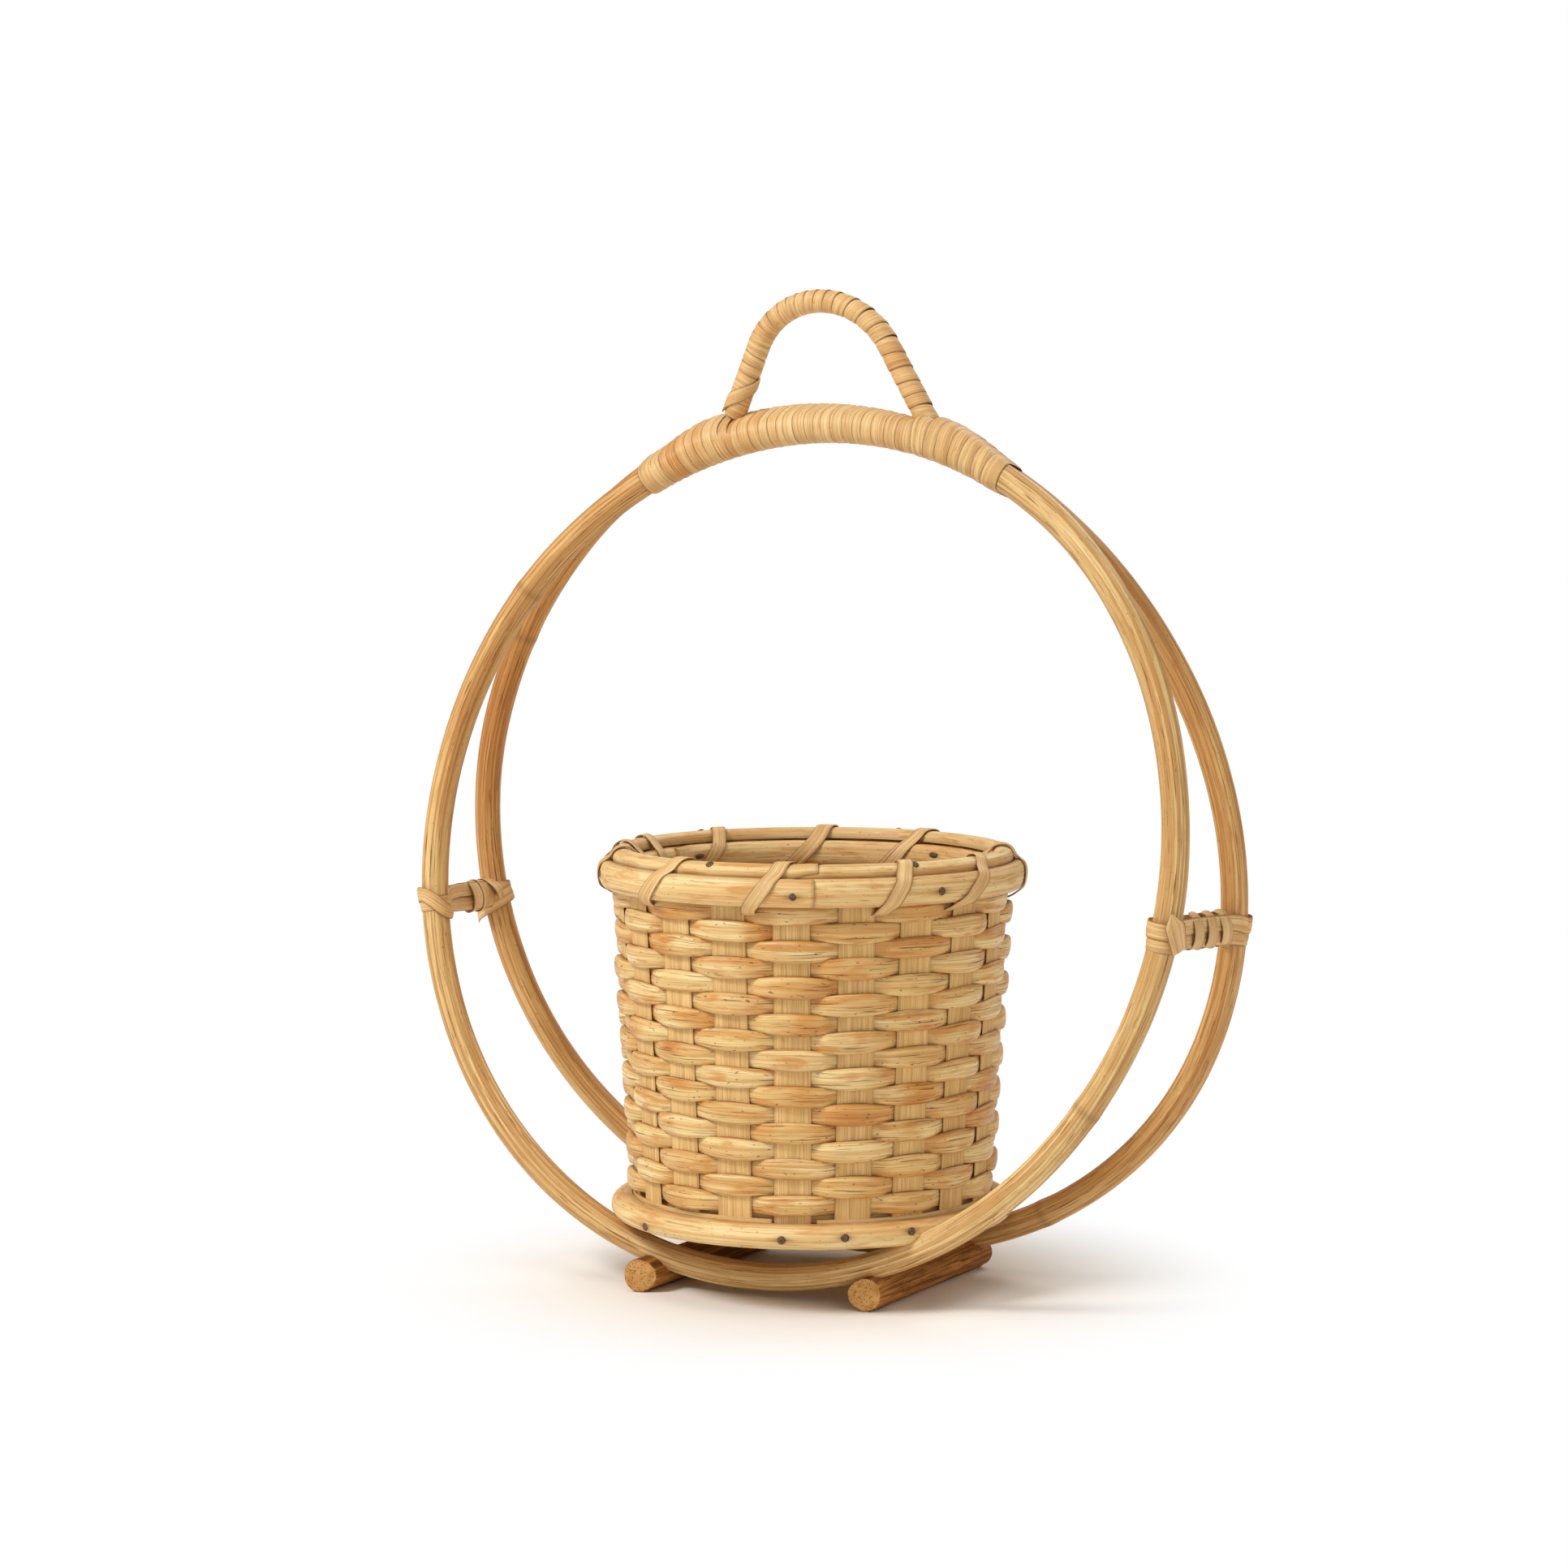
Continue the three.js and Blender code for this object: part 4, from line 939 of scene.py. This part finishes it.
# Ties at the sides: a strap round both poles, and peel wound round the strap between them

def tie_frame(angle):
    """The hoops' middles at a tie, and the ways there: back across the gap, out, and up along the poles."""
    front, back, along, across = pair_section(angle)
    out = along.cross(across).normalized()
    pole = across.cross(out).normalized()
    return front, back, across, out, pole * math.copysign(1, pole.z)


def tie_pieces(side, angle, tall, lifts, on_front, on_back, wrap_from, turns, pitch, wrap_width, hand):
    """tall is the height of the tie, and lifts raise it at the front and back poles.

    on_front and on_back: the upper strap's height and slant where it goes round each pole, and the lower's.
    The winding starts at wrap_from, counted from halfway between the poles, and takes one pitch a turn.
    """
    front, back, across, out, pole = tie_frame(angle)
    middle = (front + back) / 2
    half = (back - front).length / 2

    def spot(offset):
        raised = lifts[0] + (lifts[1] - lifts[0]) * (offset / half + 1) / 2
        return middle + across * offset + pole * raised

    def strap(name, waist, which, rise, reach, nodes):
        """waist: how far the strap's two runs between the poles are from the middle. rise: their height."""
        points, normals = [], []
        for offset, start, face, (height, slant) in ((half, -105, 1, on_back[which]),
                                                     (-half, 75, -1, on_front[which])):
            for i in range(9):
                turn = math.radians(start + i * 26.25)
                normal = across * math.cos(turn) + out * math.sin(turn)
                raised = height + slant * math.sin(turn) * (1 + math.sin(turn))
                points.append(spot(offset) + normal * reach + pole * raised)
                normals.append(normal)
            for end in (1, -1):
                points.append(spot(end * face * (half - 8.5)) + out * (face * waist) + pole * rise)
                normals.append(out * face)
        path = smooth_run(points, 4, True)
        lay_ribbon(name, path, smooth_run(normals, 4, True), [0.54 * tall] * len(path), True, nodes, 0.1)

    strap(side + "_tie_lower_strap", 1.6, 1, -0.25 * tall, POLE_RADIUS + 0.1, [])
    strap(side + "_tie_upper_strap", 2.2, 0, 0.22 * tall, POLE_RADIUS + 0.7, [side + "_tie_strap"])

    def place(share, turn):
        # the winding grows where it comes against a pole
        c, s = math.cos(turn), math.sin(turn)
        offset = wrap_from + share * turns * pitch
        near = smoothstep((abs(offset) - half + POLE_RADIUS + 3) / 5)
        high, deep = tall / 2 * (1 + 0.1 * near), 2.8 + 2.5 * near
        normal = (pole * c / high + out * s / deep).normalized()
        return spot(offset) + pole * (high * c) + out * (deep * s), normal

    wind(side + "_tie_ribbon", place, turns, wrap_width, lap=0.4, nodes=[side + "_tie_wrap"], seed=7,
         browning=lambda share: 0.6, hand=hand)


tie_pieces("left", LEFT_TIE, tall=9.6, lifts=(1.9, 0.0), on_front=((1.9, -3.3), (-1.1, 0)),
           on_back=((1.6, 0), (0.2, 0)), wrap_from=2.8, turns=2.3, pitch=7.9, wrap_width=10.4, hand=1)
tie_pieces("right", RIGHT_TIE, tall=10.8, lifts=(2.0, -0.8), on_front=((1.7, 0), (-2.8, 0)),
           on_back=((1.7, 0), (-2.8, 0)), wrap_from=-10.0, turns=2.9, pitch=12.6, wrap_width=7.0, hand=-1)


def tie_fold(side, angle, which, turns, heights, width, pointed):
    """A loose end of a tie's ribbon, laid slantwise over one pole.

    turns and heights say where it starts and ends. A turn is counted from the pole's front towards the right,
    and a height from the middle of the tie.
    """
    front, back, across, out, pole = tie_frame(angle)
    centre = back if which == "back" else front
    sense = 1 if out.x > 0 else -1
    steps = 16
    points, normals, widths = [], [], []
    for i in range(steps + 1):
        share = i / steps
        turn = math.radians(180 - sense * (turns[0] + (turns[1] - turns[0]) * share))
        normal = across * math.cos(turn) + out * math.sin(turn)
        height = heights[0] + (heights[1] - heights[0]) * share
        points.append(centre + normal * (POLE_RADIUS + 2.2) + pole * height)
        normals.append(normal)
        widths.append(width * min(1, 0.08 + 3.2 * (1 - share)) if pointed else width)
    lay_ribbon(side + "_tie_fold", points, normals, widths, False, [])


tie_fold("left", LEFT_TIE, "back", turns=(-70, 88), heights=(-7.8, 0.2), width=5.8, pointed=False)
tie_fold("right", RIGHT_TIE, "front", turns=(78, 38), heights=(-2.4, 10.2), width=7.4, pointed=True)


# Floor board and nails

def board_piece():
    deselect()
    bpy.ops.mesh.primitive_cylinder_add(vertices=96, radius=FLOOR_RADIUS * MM, depth=FLOOR_THICKNESS * MM,
                                        location=(BASKET_X * MM, 0, (FLOOR_TOP - FLOOR_THICKNESS / 2) * MM))
    board = bpy.context.object
    board.name = "floor_board"
    bpy.ops.object.transform_apply(location=True, rotation=True, scale=True)
    bpy.ops.object.mode_set(mode="EDIT")
    bpy.ops.mesh.select_all(action="SELECT")
    bpy.ops.mesh.bevel(offset=0.6 * MM, segments=2, affect="EDGES", offset_type="OFFSET")
    bpy.ops.object.mode_set(mode="OBJECT")
    finish_piece(board, BOARD, ["basket_floor"])


board_piece()


def nail_heads(name, places, shape=(1.12, 1.12, 0.42)):
    """places: radius, angle, height and the way that the head looks, (out, up), for each nail.

    Each head is a flattened dome that is sunk a little into the cane. shape is its length, height and depth.
    """
    heads = []
    for radius, angle, z, look in places:
        way = polar(look[0], angle, look[1])
        deselect()
        bpy.ops.mesh.primitive_uv_sphere_add(segments=16, ring_count=8, radius=NAIL_RADIUS * MM)
        head = bpy.context.object
        head.scale = shape
        head.rotation_euler = way.to_track_quat("Z", "Y").to_euler()
        head.location = polar(radius, angle, z, BASKET_X) * MM
        bpy.ops.object.transform_apply(location=True, rotation=True, scale=True)
        heads.append(head)
    deselect()
    for head in heads:
        head.select_set(True)
    bpy.context.view_layer.objects.active = heads[0]
    bpy.ops.object.join()
    heads[0].name = name
    finish_piece(heads[0], NAIL, [])


nail_heads("base_band_nails", [(71.05, angle, z, (1, 0)) for angle, z in BASE_NAILS])
nail_heads("rim_outer_band_nails", [(75.0, angle, z, (1, 0)) for angle, z in OUTER_NAILS])
nail_heads("rim_top_strip_nails", [(69.3, angle, 153.9, (0.6, 0.8)) for angle in STRIP_NAILS])
nail_heads("rim_inner_band_nails", [(58.8, angle, z, (-1, 0)) for angle, z in INNER_NAILS], (1.75, 0.8, 0.35))


# Floor, lights and camera

def stage_floor():
    deselect()
    bpy.ops.mesh.primitive_plane_add(size=6, location=(0, 0, 0))
    ground = bpy.context.object
    ground.name = "studio_floor"
    made, tree, shader = new_material("pale_studio_floor")
    plug(tree, shader, {"Base Color": colour("#f8f5f0"), "Roughness": 0.9})
    place = add_node(tree, "TexCoord").outputs["Object"]
    far = add_node(tree, "VectorMath", {0: place}, operation="LENGTH").outputs["Value"]
    light = add_node(tree, "LightPath")
    seen = light.outputs["Is Camera Ray"]
    for kind in ("Is Glossy Ray", "Is Transmission Ray"):
        seen = add_node(tree, "Math", {0: seen, 1: light.outputs[kind]}, operation="MAXIMUM")
    away = add_node(tree, "MapRange", {
        "Value": far, "From Min": FLOOR_FADE[0], "From Max": FLOOR_FADE[1],
    }, interpolation_type="SMOOTHSTEP")
    fade = add_node(tree, "Math", {0: seen, 1: away}, operation="MULTIPLY")
    white = add_node(tree, "Emission", {"Color": WHITE, "Strength": 1.0})
    mix = add_node(tree, "MixShader", {0: fade, 1: shader, 2: white})
    plug(tree, tree.nodes["Material Output"], {"Surface": mix})
    ground.data.materials.append(made)


stage_floor()


def studio_light(name, place, size, power):
    data = bpy.data.lights.new(name, "AREA")
    data.shape = "DISK"
    data.size = size
    data.energy = power
    lamp = bpy.data.objects.new(name, data)
    lamp.location = place
    lamp.rotation_euler = (Vector(LIGHT_AIM) - Vector(place)).to_track_quat("-Z", "Y").to_euler()
    bpy.context.collection.objects.link(lamp)


studio_light("key_softbox", (-0.9, -1.3, 1.6), 0.7, 29)
studio_light("top_softbox", (0.1, -0.5, 2.1), 1.2, 6)
studio_light("fill_softbox", (1.6, -1.0, 0.9), 1.4, 3.5)
studio_light("back_softbox", (0.3, 1.5, 1.4), 1.0, 7)

world = bpy.data.worlds.new("studio")
bpy.context.scene.world = world
world.use_nodes = True
sky = world.node_tree
background = sky.nodes["Background"]
path = add_node(sky, "LightPath")
seen = add_node(sky, "Math", {
    0: path.outputs["Is Camera Ray"], 1: path.outputs["Is Transmission Ray"],
}, operation="MAXIMUM")
strength = add_node(sky, "MapRange", {"Value": seen, "To Min": SKY_STRENGTH, "To Max": 1.0})
air = add_node(sky, "Mix", {0: seen, 6: colour("#fff4e4"), 7: WHITE}, data_type="RGBA")
plug(sky, background, {"Strength": strength, "Color": air.outputs[2]})

camera_data = bpy.data.cameras.new("photograph_camera")
camera_data.lens = CAMERA_LENS
camera_data.sensor_width = CAMERA_SENSOR
camera = bpy.data.objects.new("photograph_camera", camera_data)
camera.location = Vector(CAMERA_PLACE) * MM
camera.rotation_euler = (math.radians(90 - CAMERA_PITCH), 0, math.radians(CAMERA_AZIMUTH))
bpy.context.collection.objects.link(camera)
bpy.context.scene.camera = camera
bpy.context.scene.view_settings.view_transform = "Standard"
